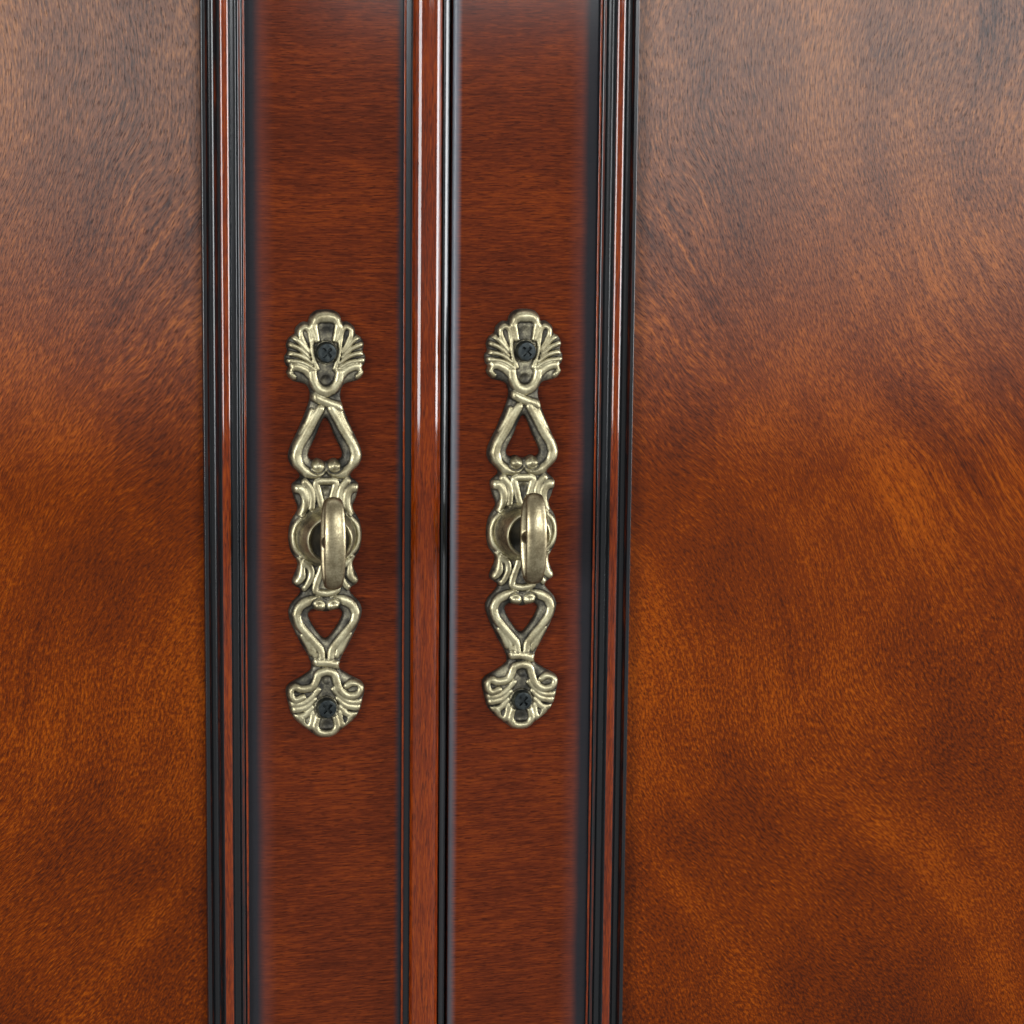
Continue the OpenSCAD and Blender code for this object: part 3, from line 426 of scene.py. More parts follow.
def moulding_wood(name):
    """Dark polished moulding: bare stain on the rounds' tops, black glaze and painted shade in the
    quirks and flanks.
    """
    graph = Graph(name)
    lay = graph.attribute("lay", "Vector")
    tone, _ = wood_tone(graph, lay, BEAD_STAIN)
    groove = graph.attribute("groove")
    worn = swing(graph, graph.noise(lay, (60, 900, 900), 3), 0.5)
    glaze_and_shade = graph.rise(graph.plus(groove, worn), 0.25, 0.6)
    graph.paint(graph.blend(glaze_and_shade, tone, QUIRK_GLAZE_AND_PAINTED_SHADE))
    nicks = graph.noise(lay, (55, 220, 220), 3, 0.6)
    graph.bump(nicks, 0.00018)
    polish, glaze_satin = 0.05, 0.14
    lacquer(graph, gloss=1.43, coat_roughness=polish, roughness=0.4)
    satin = graph.plus(graph.times(glaze_and_shade, glaze_satin), polish)
    graph.feed(satin, graph.shader.inputs["Coat Roughness"])
    return graph.material


def edge_moulding_wood(name):
    """Dark polished moulding that runs round three sides, its grain level everywhere."""
    graph = Graph(name)
    x, y, z = graph.split(graph.object_place())
    lay = graph.join(graph.plus(x, y), z, 0.0)
    tone, _ = wood_tone(graph, lay, EDGE_STAIN)
    graph.paint(tone)
    graph.bump(graph.noise(lay, (50, 200, 1), 3), 0.00012)
    lacquer(graph, gloss=1.38, coat_roughness=0.08, roughness=0.4)
    return graph.material


def antique_brass(name, relief=False, polish=0.0):
    """Aged brass; on a cast relief the crests are rubbed bright and the hollows are dark."""
    graph = Graph(name)
    place = graph.object_place()
    blotches = graph.noise(place, (160, 160, 160), 4, 0.6)
    pits = graph.noise(place, (1500, 1500, 1500), 3, 0.6)
    age = graph.plus(graph.times(blotches, 0.7), graph.times(pits, 0.3))
    tone = graph.ramp(age, [(0.36, colour(100, 89, 68)), (0.5, colour(134, 123, 96)),
                            (0.64, colour(172, 161, 130))])
    dullness = graph.rise(age, 0.66, 0.34)
    if relief:
        uneven = swing(graph, age, 1.3)
        rubbed = graph.rise(graph.plus(graph.attribute("wear"), uneven), 0.25, 0.82)
        hollow = graph.ramp(blotches, [(0.35, colour(56, 55, 51)), (0.65, colour(102, 97, 85))])
        crest = graph.ramp(age, [(0.38, colour(140, 130, 101)), (0.6, colour(186, 178, 145))])
        tone = graph.blend(rubbed, hollow, crest)
        dullness = graph.minus(1.0, rubbed)
    graph.paint(tone)
    roughness = graph.plus(graph.times(dullness, 0.14), 0.42 - polish)
    graph.feed(roughness, graph.shader.inputs["Roughness"])
    graph.bump(age, 0.00016)
    graph.set(Metallic=1.0)
    return graph.material


def blackened_steel(name):
    """Black screws and catch plates, a little worn."""
    graph = Graph(name)
    place = graph.object_place()
    wear = graph.noise(place, (700, 700, 700), 4, 0.6)
    graph.paint(graph.ramp(wear, [(0.4, colour(38, 43, 44)), (0.62, colour(58, 62, 61))]))
    graph.bump(wear, 0.00002)
    graph.set(Metallic=0.9, Roughness=0.42)
    return graph.material


X, Y, Z = 0, 1, 2
DOOR_VENEERS = {
    side: (door_veneer(side + "_veneer_level_grain", X, Z, sight_x),
           door_veneer(side + "_veneer_upright_grain", Z, X, sight_x))
    for side, sight_x in SIGHT_X.items()}
DRAWER_VENEER = straight_wood("drawer_veneer", X, Z, Y, STAIN).material
DOOR_PANEL_WOOD = figured_wood("door_panel_figure", X, None, PANEL_STAIN)
SIDE_PANEL_WOOD = figured_wood("side_panel_figure", Y, -30.0, PANEL_STAIN)
MAHOGANY_LEVEL = straight_wood("mahogany_level", X, Z, Y, STAIN).material
MAHOGANY_UPRIGHT = straight_wood("mahogany_upright", Z, X, Y, STAIN).material
MAHOGANY_SIDE = straight_wood("mahogany_side", Z, Y, X, STAIN).material
TOP_WOOD = straight_wood("top_wood", X, Y, Z, STAIN, fineness=0.6).material
INSIDE_LEVEL = straight_wood("inside_level", X, Y, Z, INSIDE_STAIN, **SATIN).material
INSIDE_DEEP = straight_wood("inside_front_to_back", Y, Z, X, INSIDE_STAIN, **SATIN).material
INSIDE_UPRIGHT = straight_wood("inside_upright", Z, Y, X, INSIDE_STAIN, **SATIN).material
INSIDE_BACK = straight_wood("inside_back", Z, X, Y, INSIDE_STAIN, **SATIN).material
MOULDING_WOOD = moulding_wood("moulding_wood")
EDGE_WOOD = edge_moulding_wood("edge_moulding_wood")
BRASS = antique_brass("aged_brass")
BOW_BRASS = antique_brass("handled_brass", polish=0.1)
RELIEF_BRASS = antique_brass("cast_relief_brass", relief=True)
STEEL = blackened_steel("black_steel")


# CAD nodes that stay: a material each, and their hard edges eased

def ease_edges(piece, width):
    """Small rounds on the hard edges; the width is in millimetres."""
    weld = piece.modifiers.new("weld", "WELD")
    weld.merge_threshold = 0.00001
    bevel = piece.modifiers.new("bevel", "BEVEL")
    bevel.width = width * MM
    bevel.segments = 2
    bevel.limit_method = "ANGLE"
    bevel.angle_limit = math.radians(40)
    piece.modifiers.new("normals", "WEIGHTED_NORMAL")


def both(*names):
    """The names of pieces that are on the left and on the right."""
    return [side + "_" + name for side in ("left", "right") for name in names]


FINISHES = {
    DOOR_VENEERS["left"][0]: ["left_door_stiles"],
    DOOR_VENEERS["left"][1]: ["left_door_rails"],
    DOOR_VENEERS["right"][0]: ["right_door_stiles"],
    DOOR_VENEERS["right"][1]: ["right_door_rails"],
    DRAWER_VENEER: both("drawer_front"),
    DOOR_PANEL_WOOD: both("door_panel"),
    SIDE_PANEL_WOOD: ["side_panels"],
    MAHOGANY_LEVEL: ["face_rails", "front_feet", "back_feet", "mixing_slide"],
    MAHOGANY_UPRIGHT: ["face_stiles", "drawer_partition"],
    MAHOGANY_SIDE: ["side_frames"],
    TOP_WOOD: ["top_board"],
    EDGE_WOOD: ["top_moulding", "base_moulding"],
    INSIDE_LEVEL: ["bottom_board", "drawer_board", "cupboard_ceiling", "shelves",
                   "bottle_rails", *both("drawer_bottom", "drawer_back")],
    INSIDE_DEEP: ["side_guides", "shelf_bearers", "glass_rack_spacers", "glass_rack_rails",
                  *both("drawer_sides")],
    INSIDE_UPRIGHT: ["centre_partition", "foot_blocks"],
    INSIDE_BACK: ["back_panel"],
    BRASS: ["case_hinge_leaves", "case_hinge_screws", "hinge_pins", "slide_knobs",
            *both("handle_plate", "handle_bow", "door_leaves", "door_hinge_screws",
                  "drawer_knobs")],
    STEEL: ["door_catches", *both("handle_screws", "strike")],
}
METAL_EASE = 0.15
WOOD_EASE = 0.6
for material, names in FINISHES.items():
    for name in names:
        nodes[name].data.materials[0] = material
        ease_edges(nodes[name], METAL_EASE if material in (BRASS, STEEL) else WOOD_EASE)


# Panel mouldings: mitred strips swept along their profile

def moulding_profile():
    """Across from the outer edge, out from the frame, and how much dark glaze and painted shade is
    there.
    """
    # The third number is dark glaze with painted shade, full in the quirks and on the lower flanks
    # of the rounds.
    outline = [(0.0, 0.0, 1.0), (0.0, 1.3, 0.6), (0.1, 1.5, 0.3), (0.25, 1.6, 0.1),
               (0.6, 1.6, 0.1), (0.8, 1.5, 0.6), (0.9, 1.3, 1.0), (0.95, 0.95, 1.0)]
    outline += [(a, b, 0.9 if b < 1.7 else 0.5)
                for a, b in arc((1.8, 1.0), (0.8, 0.8), 180, 0, 14)]
    outline += [(2.9, 0.8, 1.0), (3.6, 0.75, 1.0), (4.5, 0.85, 1.0)]
    outline += [(a, b, 0.95 if b < 3.1 else 0.05)
                for a, b in arc((6.9, 1.0), (2.2, 2.6), 180, 0, 26)]
    outline += [(9.15, 0.4, 1.0)]
    outline += [(a, b, 0.95 if b < -1.1 else 0.5)
                for a, b in arc((10.9, 0.3), (1.75, 1.8), 180, 360, 18)]
    outline += [(12.85, 0.3, 0.7), (13.6, 0.3, 0.6), (13.85, 0.2, 0.6), (14.0, -0.05, 0.7)]
    # Down to the sunk panel, and up along the frame's inner edge
    outline += [(14.0, -PANEL_RECESS, 1.0), (MOULDING_LAP, -PANEL_RECESS, 1.0),
                (MOULDING_LAP, 0.0, 1.0)]
    return outline


def moulding_piece(name, points, faces, lays, grooves, body, node):
    """A piece with each point's place along, across and out of the grain, and its glaze and
    painted shade.
    """
    piece = make_piece(name, points, faces, body, node, MOULDING_WOOD, 50.0)
    layer = piece.data.attributes.new("lay", "FLOAT_VECTOR", "POINT")
    layer.data.foreach_set("vector", [v * MM for lay in lays for v in lay])
    add_attribute(piece, "groove", grooves)


GRAIN_SHIFT = 1000  # from one strip to the next, so that each has its own grain


def swept_ring(name, corners, inward, out, body, node):
    """Four mitred strips round a rectangle: corners in order, the profile turned inward."""
    profile = moulding_profile()
    points, lays, grooves, faces = [], [], [], []
    count = len(profile)
    for side in range(4):
        start, end = Vector(corners[side]), Vector(corners[(side + 1) % 4])
        along = (end - start).normalized()
        length = (end - start).length
        across = Vector(inward[side])
        first = len(points)
        for place, turn in ((start, 1), (end, -1)):
            for a, b, groove in profile:
                points.append(place + along * turn * a + across * a + Vector(out) * b)
                lays.append((side * GRAIN_SHIFT + (a if turn == 1 else length - a), a, b))
                grooves.append(groove)
        for i in range(count):
            j = (i + 1) % count
            faces.append((first + i, first + j, first + count + j, first + count + i))
        faces.append(tuple(first + i for i in range(count - 1, -1, -1)))
        faces.append(tuple(first + count + i for i in range(count)))
    moulding_piece(name, points, faces, lays, grooves, body, node)


def door_moulding(side, sight_x):
    """The moulding round a door's panel."""
    left, right = sight_x[0] - MOULDING_LAP, sight_x[1] + MOULDING_LAP
    low, high = SIGHT_Z[0] - MOULDING_LAP, SIGHT_Z[1] + MOULDING_LAP
    corners = [(left, FACE_Y, low), (left, FACE_Y, high), (right, FACE_Y, high),
               (right, FACE_Y, low)]
    inward = [(1, 0, 0), (0, 0, -1), (-1, 0, 0), (0, 0, 1)]
    swept_ring(side + "_door_moulding_strips", corners, inward, (0, -1, 0), side + "_door",
               side + "_door_moulding")


def side_moulding(name, side):
    """The same moulding round the panels of the carcass sides; both are one CAD node."""
    low, high = SIDE_HOLE_Z[0] - MOULDING_LAP, SIDE_HOLE_Z[1] + MOULDING_LAP
    front, back = SIDE_HOLE_Y[0] - MOULDING_LAP, SIDE_HOLE_Y[1] + MOULDING_LAP
    x = side * HALF_W
    corners = [(x, front, low), (x, front, high), (x, back, high), (x, back, low)]
    inward = [(0, 1, 0), (0, 0, -1), (0, -1, 0), (0, 0, 1)]
    swept_ring(name, corners, inward, (side, 0, 0), "cabinet", "side_mouldings")


for side, sight_x in SIGHT_X.items():
    door_moulding(side, sight_x)
side_moulding("left_side_moulding_strips", -1)
side_moulding("right_side_moulding_strips", 1)


# Bead strip on the meeting edge of the left door

def bead_strip():
    """A half-round bead between two fillets, the right one sloped; glaze and painted shade as in
    the moulding.
    """
    middle = ASTRAGAL_W / 2
    half = [(0.0, 0.0, 1.0), (0.0, 1.05, 0.5), (0.15, 1.2, 0.0), (0.65, 1.2, 0.0),
            (0.8, 1.05, 0.9), (0.85, 0.6, 1.0), (1.7, 0.55, 1.0), (2.55, 0.6, 1.0)]
    profile = half + [(a, b, 0.9 if b < 1.9 else 0.0)
                      for a, b in arc((middle, 0.6), (5.15, 4.4), 180, 0, 40)]
    profile += [(ASTRAGAL_W - 2.5, 0.6, 1.0), (ASTRAGAL_W - 2.42, 1.5, 1.0),
                (ASTRAGAL_W - 2.3, 1.72, 1.0), (ASTRAGAL_W - 2.05, 1.76, 1.0),
                (ASTRAGAL_W - 1.4, 1.41, 1.0), (ASTRAGAL_W - 0.75, 0.96, 1.0),
                (ASTRAGAL_W - 0.15, 0.47, 1.0), (ASTRAGAL_W, 0.2, 1.0)]
    points, lays, grooves = [], [], []
    for z in DOOR_Z:
        for a, b, groove in profile:
            points.append((LEFT_DOOR_EDGE_X - ASTRAGAL_W + a, FACE_Y - b, z))
            lays.append((z, a, b))
            grooves.append(groove)
    count = len(profile)
    faces = [(i, (i + 1) % count, count + (i + 1) % count, count + i) for i in range(count)]
    faces.append(tuple(range(count - 1, -1, -1)))
    faces.append(tuple(range(count, 2 * count)))
    moulding_piece("astragal_strip", points, faces, lays, grooves, "left_door", "astragal")


bead_strip()


# Handle plates: a cast relief, drawn from the middle of the handle, X across and Z up

PLATE_HALF = [
    (0, 72.5), (3.2, 72), (5, 70.4), (5.7, 68.5), (7.6, 68.4), (9.7, 66.6), (10.2, 64.5),
    (12, 63.2), (13, 60.8), (12.6, 58.6), (13.5, 57), (13.3, 54.6), (12.4, 53.2), (12.9, 51.4),
    (11, 49), (6.4, 47.6), (5.1, 44.2), (6, 40), (8.9, 32.8), (12.2, 25.4), (11.8, 21.2),
    (8.5, 17.2), (11.2, 14), (10.4, 9.6), (9.3, 6), (11.6, 1.6), (12.4, -3.4), (11.6, -8.4),
    (9.3, -12.8), (11.2, -18.8), (8.3, -22), (11.8, -26.6), (12.2, -31), (8.7, -39.1),
    (5.6, -44.8), (4.8, -48.6), (8, -51.2), (13.1, -54.6), (12.6, -60.4), (10.6, -65.6),
    (5, -70.4), (2.6, -72.1), (0, -72.5)]
UPPER_HEART_HALF = [(0, 36.5), (3.4, 29.8), (5.8, 24.4), (4.5, 22.3), (2.7, 22.9), (0, 21.8)]
LOWER_HEART_HALF = [(0, -29.2), (2.7, -28.6), (4.6, -28.4), (5.8, -30.4), (3.4, -35),
                    (0, -38.4)]
BOSS_DROP = 3.4
SCREW_Z = (58.4, -61.8)

# Raised lines: half width at the start and at the end, height, and the points of the line.
# Those in the first list are on both halves of the plate.
PAIRED_LINES = [
    # Upper shell: hood, fork, fronds, curl and cup
    (2.2, 1.1, 1.5, [(0, 70.2), (2.6, 69.8), (4.2, 67.9), (3.7, 65.3), (3, 62.4)]),
    (1.1, 1.0, 1.0, [(4.7, 61.8), (5.4, 65.4), (7, 66.8), (8.6, 65.2), (7.5, 61.8),
                     (5.7, 58.5)]),
    (0.8, 0.9, 1.1, [(4.9, 62.2), (4.2, 57), (2.9, 53)]),
    (0.75, 1.0, 1.1, [(5.9, 58.5), (8.8, 61.8), (10.9, 63.7)]),
    (0.75, 1.0, 1.1, [(5.6, 56.8), (8.8, 59.6), (11.9, 61)]),
    (0.75, 1.0, 1.1, [(4.6, 54.8), (8.2, 57.2), (12.4, 58.2)]),
    (0.75, 1.0, 1.1, [(3.4, 52.6), (7.8, 55), (12.6, 55.6)]),
    (1.6, 1.4, 1.3, [(5.2, 50.9), (7, 52.6), (9.8, 53.7), (11.9, 53), (12.2, 51.4),
                     (11, 50.2)]),
    (1.7, 2.0, 1.7, [(4.6, 51.6), (4, 48.6), (2.4, 46.2), (0, 45.2)]),
    # Upper heart: the strand with its curl, a second strand and the leaf tips
    (1.6, 2.15, 1.5, [(1.9, 39.6), (3.6, 36.8), (6.4, 31.8), (9.2, 27.6), (10.2, 24)]),
    (2.15, 1.8, 1.5, [(10.2, 24), (9.2, 20.6), (6.6, 18.4), (3.8, 18), (1.7, 19.2),
                     (1.4, 21.2), (3, 22)]),
    (1.0, 1.1, 0.9, [(4.8, 38.9), (6.4, 35.2), (8.4, 31.6)]),
    # Upper cartouche: the frame's side, an inner and an outer scroll
    (1.4, 1.3, 1.1, [(0, 15.3), (3.2, 14.9), (2.4, 11), (1.5, 7.4), (0, 6)]),
    (1.4, 1.3, 1.2, [(7.3, 15.4), (5.4, 13.2), (4.6, 10.2), (4.9, 6.4)]),
    (1.8, 1.6, 1.3, [(10.3, 13), (8.4, 12.7), (7, 10.4), (7, 7.4), (8.4, 4.9)]),
    # Lower cartouche
    (1.4, 1.1, 1.1, [(7.8, -11.9), (5.5, -13.6), (5, -16.4), (6.2, -19.3), (7.6, -21)]),
    (1.6, 1.7, 1.2, [(9.3, -11.4), (8.5, -14.5), (8.5, -16.9), (10.2, -18.4)]),
    (1.4, 1.3, 1.2, [(1.2, -12.8), (2.1, -15.8), (3.4, -19.3), (3.5, -21.8), (0, -22.7)]),
    # Lower heart: the strand with its curl and two leaf tips
    (2.1, 1.7, 1.4, [(2.5, -28), (1.4, -26.6), (3.2, -25.1), (6, -25.2), (8.8, -26.8),
                     (10.1, -29.6)]),
    (1.7, 1.4, 1.4, [(10.1, -29.6), (9.2, -32.8), (6.4, -36.4), (3.6, -39.6), (1.9, -42),
                     (1.5, -44.8)]),
    (1.1, 1.1, 0.9, [(6.3, -37.7), (4.6, -40.8), (3.7, -44)]),
    (1.0, 1.1, 0.8, [(8.1, -37), (6.4, -40), (5.2, -43)]),
    # Lower shell: fronds and the outer lobe
    (1.1, 1.3, 0.9, [(2.6, -55.6), (5, -58.4), (8.2, -60.3), (11.8, -60.4)]),
    (1.1, 1.3, 0.9, [(4, -59), (6.6, -61.4), (11.4, -62.5)]),
    (1.1, 1.3, 0.9, [(4.6, -61.8), (7.2, -64.3), (10.4, -65)]),
    (1.3, 1.4, 1.0, [(4.4, -63.8), (5, -67.4), (6.6, -68.7), (8.2, -67.2), (8.4, -65.4)]),
    (1.8, 1.1, 1.4, [(0, -71.2), (2.4, -70.6), (3.7, -68.6), (3.2, -65.9), (2.4, -64)])]
SINGLE_LINES = [
    # Bands round the necks, and the two arches of the lower shell
    (1.7, 1.7, 1.5, [(-3.8, 43.6), (-0.9, 42.2), (2.6, 40.9), (5.2, 40.2)]),
    (1.6, 1.6, 1.4, [(-3.4, -46.2), (0.5, -46.4), (4.6, -47.5)]),
    (1.6, 1.3, 1.4, [(0, -49.4), (2.6, -50.3), (3.6, -53.2), (4.8, -56), (7.4, -58),
                     (10.4, -57.9), (11.9, -56), (11.2, -54), (8.8, -53.6), (7, -54.6)]),
    (1.6, 1.3, 1.4, [(0, -49.4), (-2.6, -50.3), (-3.6, -52.8), (-5, -54.7), (-8.6, -55.2),
                     (-10.6, -54.3), (-11.9, -55.2), (-12, -57.4), (-10.4, -58.8),
                     (-8, -58)])]
# Round knobs at the ends of the hearts' curls, on both halves: radius, height and middle
KNOBS = [(2.1, 2.3, (2.9, 20.6)), (2.0, 2.2, (2.5, -26.9))]
# Hollows: radius, depth and middle
HOLLOWS = [(2.0, 0.9, (0, 48.9)), (1.9, 0.9, (0.3, -52.3)), (2.3, 0.5, (0, 64.6)),
           (1.7, 0.7, (0, 11.8)), (2.0, 0.6, (0, -17.5)), (1.8, 0.5, (0, -68.2))]


def curve_point(p0, p1, p2, p3, t):
    """A point between p1 and p2 on the smooth curve through the four points."""
    return tuple(0.5 * (2 * b + (c - a) * t + (2 * a - 5 * b + 4 * c - d) * t * t
                        + (3 * b - a - 3 * c + d) * t ** 3)
                 for a, b, c, d in zip(p0, p1, p2, p3))


def smooth_line(points, steps=14):
    """Many points along the smooth curve through a few."""
    ends = [points[0]] + list(points) + [points[-1]]
    line = [curve_point(*ends[i:i + 4], k / steps)
            for i in range(len(points) - 1) for k in range(steps)]
    return np.array(line + [points[-1]], float)


def smooth_loop(half, steps=8):
    """The closed outline whose right half is given from top to bottom."""
    whole = half + [(-x, z) for x, z in reversed(half) if abs(x) > 0.01]
    n = len(whole)
    return np.array([curve_point(whole[i - 1], whole[i], whole[(i + 1) % n],
                                 whole[(i + 2) % n], k / steps)
                     for i in range(n) for k in range(steps)], float)


def inside(points, loop):
    """Which points lie in a closed outline."""
    result = np.zeros(len(points), bool)
    x, z = points[:, 0], points[:, 1]
    for (x1, z1), (x2, z2) in zip(loop, np.roll(loop, -1, axis=0)):
        if z1 == z2:
            continue
        crosses = (z1 > z) != (z2 > z)
        result ^= crosses & (x < (x2 - x1) * (z - z1) / (z2 - z1) + x1)
    return result


def edge_distance(points, loops):
    """How far each point lies from the nearest outline."""
    nearest = np.full(len(points), np.inf)
    for loop in loops:
        for a, b in zip(loop, np.roll(loop, -1, axis=0)):
            reach = b - a
            share = np.clip(((points - a) @ reach) / (reach @ reach), 0, 1)
            nearest = np.minimum(nearest,
                                 np.linalg.norm(points - a - share[:, None] * reach, axis=1))
    return nearest


def dome_heights(points, domes):
    """What round knobs add at each point, and 1 in the groove round a knob's foot."""
    raised, groove = np.zeros(len(points)), np.zeros(len(points))
    for radius, height, middle in domes:
        gap = np.linalg.norm(points - middle, axis=1)
        rounding = np.sqrt(np.clip(1 - (gap / radius) ** 2, 0, 1))
        raised = np.maximum(raised, height * rounding)
        off_groove = np.abs(gap - radius - GROOVE_HALF_W) / GROOVE_HALF_W
        groove = np.maximum(groove, np.clip(GROOVE_STEEPNESS * (1 - off_groove), 0, 1))
    return raised, groove


def line_heights(points, lines):
    """What the raised lines add at each point, how near to a crest it is, and to its foot."""
    raised, crest, foot = (np.zeros(len(points)) for _ in range(3))
    for start, end, height, line in lines:
        path = smooth_line(line)
        widths = np.linspace(start, end, len(path))
        near = np.all((points > path.min(0) - 2) & (points < path.max(0) + 2), axis=1)
        where = np.nonzero(near)[0]
        gaps = np.linalg.norm(points[where, None] - path[None], axis=2)
        beyond = (gaps - widths).min(axis=1)
        foot[where] = np.maximum(foot[where], np.clip(1 - np.abs(beyond) / FOOT_W, 0, 1))
        gaps = gaps / widths
        rounding = np.sqrt(np.clip(1 - gaps.min(axis=1) ** 2, 0, 1))
        raised[where] = np.maximum(raised[where], height * rounding)
        crest[where] = np.maximum(crest[where], rounding)
    return raised, crest, foot


# Heights over the door: of the plate's edge, its ground and the screws' flat seats
EDGE_OUT = 0.9
FLOOR_OUT = 2.5
SEAT_OUT = 3.4
# Widths: of the round from edge to ground, of half the grooves, and of a line's dark foot, its
# patina with painted shade
EDGE_ROUND = 2.1
GROOVE_HALF_W = 0.5
FOOT_W = 0.35
SEAT_R = 3.9
SEAT_SLOPE = 0.5
# Oval rim round the boss: its radii, how narrow it is, and how far from the middle it starts
RIM_RADII = (11.6, 8.6)
RIM_NARROWNESS = 9
RIM_START = 3
# How rubbed the ground and the screws' seats are, and the height that makes a knob's top bright
FLOOR_WORN = 0.36
SEAT_WORN = 0.45
BRIGHT_KNOB_H = 1.6
# A groove round a knob: how steep it is, what it takes off a line's height and wear beside it,
# and how dark it is, patina with painted shade
GROOVE_STEEPNESS = 1.6
GROOVE_CUT = 0.5
GROOVE_DULLS = 0.65
GROOVE_DARK = 0.7
# What is left at the plate's edge of the lines' height, and of the wear
EDGE_LINES = 0.35
EDGE_WEAR = 0.45


def relief(points, loops):
    """Height over the door, and wear from 0 in the hollows to 1 on the crests."""
    off_edge = np.clip(edge_distance(points, loops) / EDGE_ROUND, 0, 1)
    shoulder = np.sqrt(1 - (1 - off_edge) ** 2)
    out = EDGE_OUT + (FLOOR_OUT - EDGE_OUT) * shoulder
    mirrored = [(a, b, h, [(-x, z) for x, z in line]) for a, b, h, line in PAIRED_LINES]
    raised, crest, foot = line_heights(points, PAIRED_LINES + mirrored + SINGLE_LINES)
    domes, groove = dome_heights(points, KNOBS + [(r, h, (-x, z)) for r, h, (x, z) in KNOBS])
    raised *= 1 - GROOVE_CUT * groove
    foot = np.maximum(foot, GROOVE_DARK * groove)
    crest = np.maximum(crest * (1 - GROOVE_DULLS * groove), np.clip(domes / BRIGHT_KNOB_H, 0, 1))
    out += np.maximum(raised, domes) * (EDGE_LINES + (1 - EDGE_LINES) * shoulder)
    for radius, depth, middle in HOLLOWS:
        share = np.clip(1 - (np.linalg.norm(points - middle, axis=1) / radius) ** 2, 0, 1)
        out -= depth * share * (1 - crest)
    x, z = points[:, 0], points[:, 1] + BOSS_DROP
    rim = np.abs(np.hypot(x / RIM_RADII[0], z / RIM_RADII[1]) - 1) * RIM_NARROWNESS
    rim_round = np.sqrt(np.clip(1 - rim ** 2, 0, 1)) * (np.abs(x) > RIM_START)
    out += rim_round * shoulder
    crest = np.maximum(crest, rim_round)
    for screw_z in SCREW_Z:
        gap = np.linalg.norm(points - (0, screw_z), axis=1)
        seat = np.clip((SEAT_R + SEAT_SLOPE - gap) / SEAT_SLOPE, 0, 1)
        out = out * (1 - seat) + np.minimum(out, SEAT_OUT) * seat
        out = np.maximum(out, np.where(gap < SEAT_R, SEAT_OUT - 0.3, 0))
        on_seat = gap < SEAT_R + 0.3
        crest = np.where(on_seat, SEAT_WORN, crest)
        foot = np.where(on_seat, 0.0, foot)
    # The ground is left dark at the lines' feet and in the grooves round the knobs: patina, with
    # painted shade.
    worn = np.maximum(crest, FLOOR_WORN * (1 - foot))
    return out, worn * (EDGE_WEAR + (1 - EDGE_WEAR) * shoulder)


def flat_triangles(points, loops):
    """Triangles that fill the outlines, the first points being those of the loops."""
    edges, first = [], 0
    for loop in loops:
        edges += [(first + i, first + (i + 1) % len(loop)) for i in range(len(loop))]
        first += len(loop)
    found = delaunay_2d_cdt([Vector(p) for p in points], edges, [], 0, 1e-6)
    places, faces, origins = found[0], found[2], found[3]
    middles = np.array([np.mean([places[i] for i in face], axis=0) for face in faces])
    keep = inside(middles, loops[0])
    for hole in loops[1:]:
        keep &= ~inside(middles, hole)
    back = [origin[0] for origin in origins]
    return [tuple(back[i] for i in face) for face, good in zip(faces, keep) if good]


def grid_inside(loops, spacing, margin):
    """Staggered rows of points in the outline, clear of its edges."""
    low, high = loops[0].min(0), loops[0].max(0)
    rows = np.arange(low[1], high[1], spacing * 0.866)
    points = np.array([(x + (k % 2) * spacing / 2, z) for k, z in enumerate(rows)
                       for x in np.arange(low[0], high[0], spacing)])
    keep = inside(points, loops[0])
    for hole in loops[1:]:
        keep &= ~inside(points, hole)
    points = points[keep]
    return points[edge_distance(points, loops) > margin]


def turned_points(profile, centre, steps):
    """Rings round an axis towards the front; the profile is radius and out from the door."""
    points = []
    for radius, out in profile:
        for k in range(steps):
            turn = 2 * math.pi * k / steps
            points.append((centre[0] + radius * math.cos(turn), FACE_Y - out,
                           centre[1] + radius * math.sin(turn)))
    faces = [(i * steps + k, i * steps + (k + 1) % steps,
              (i + 1) * steps + (k + 1) % steps, (i + 1) * steps + k)
             for i in range(len(profile) - 1) for k in range(steps)]
    return points, faces


GRID_SPACING = 0.3
GRID_MARGIN = 0.14
BORDER_WORN = 0.1
# The boss in the middle: radius, out from the door, and wear
BOSS_PROFILE = [
    (10.9, 1.8, 0.3), (10.2, 3.2, 0.7), (9.5, 4.0, 0.5), (9.0, 5.2, 0.55), (8.6, 7.2, 0.6),
    (8.2, 9.2, 0.6), (7.9, 10.7, 0.7), (7.6, 11.4, 1.0), (7.2, 11.7, 1.0), (6.8, 11.5, 0.8),
    (6.3, 10.9, 0.2), (5.2, 10.5, 0.05), (3.6, 10.3, 0.0), (3.06, 10.2, 0.0), (3.06, 1.8, 0.0)]
BOSS_STEPS = 96


def plate_shape():
    """Points about the middle of the handle, faces, and the wear at each point."""
    loops = [smooth_loop(PLATE_HALF), smooth_loop(UPPER_HEART_HALF),
             smooth_loop(LOWER_HEART_HALF)]
    border = np.concatenate(loops)
    flat = np.concatenate([border, grid_inside(loops, GRID_SPACING, GRID_MARGIN)])
    out, wear = relief(flat, loops)
    out[:len(border)] = EDGE_OUT
    points = [(x, FACE_Y - o, z) for (x, z), o in zip(flat, out)]
    faces = flat_triangles(flat, loops)
    base = len(points)
    points += [(x, FACE_Y, z) for x, z in border]
    faces += [tuple(base + i for i in reversed(face)) for face in flat_triangles(border, loops)]
    first = 0
    for loop in loops:
        for i in range(len(loop)):
            a, b = first + i, first + (i + 1) % len(loop)
            faces.append((a, base + a, base + b, b))
        first += len(loop)
    wear = list(wear) + [BORDER_WORN] * len(border)
    boss = [(radius, out) for radius, out, _ in BOSS_PROFILE]
    add_part(points, faces, *turned_points(boss, (0, -BOSS_DROP), BOSS_STEPS))
    wear += [worn for _, _, worn in BOSS_PROFILE for _ in range(BOSS_STEPS)]
    return points, faces, wear


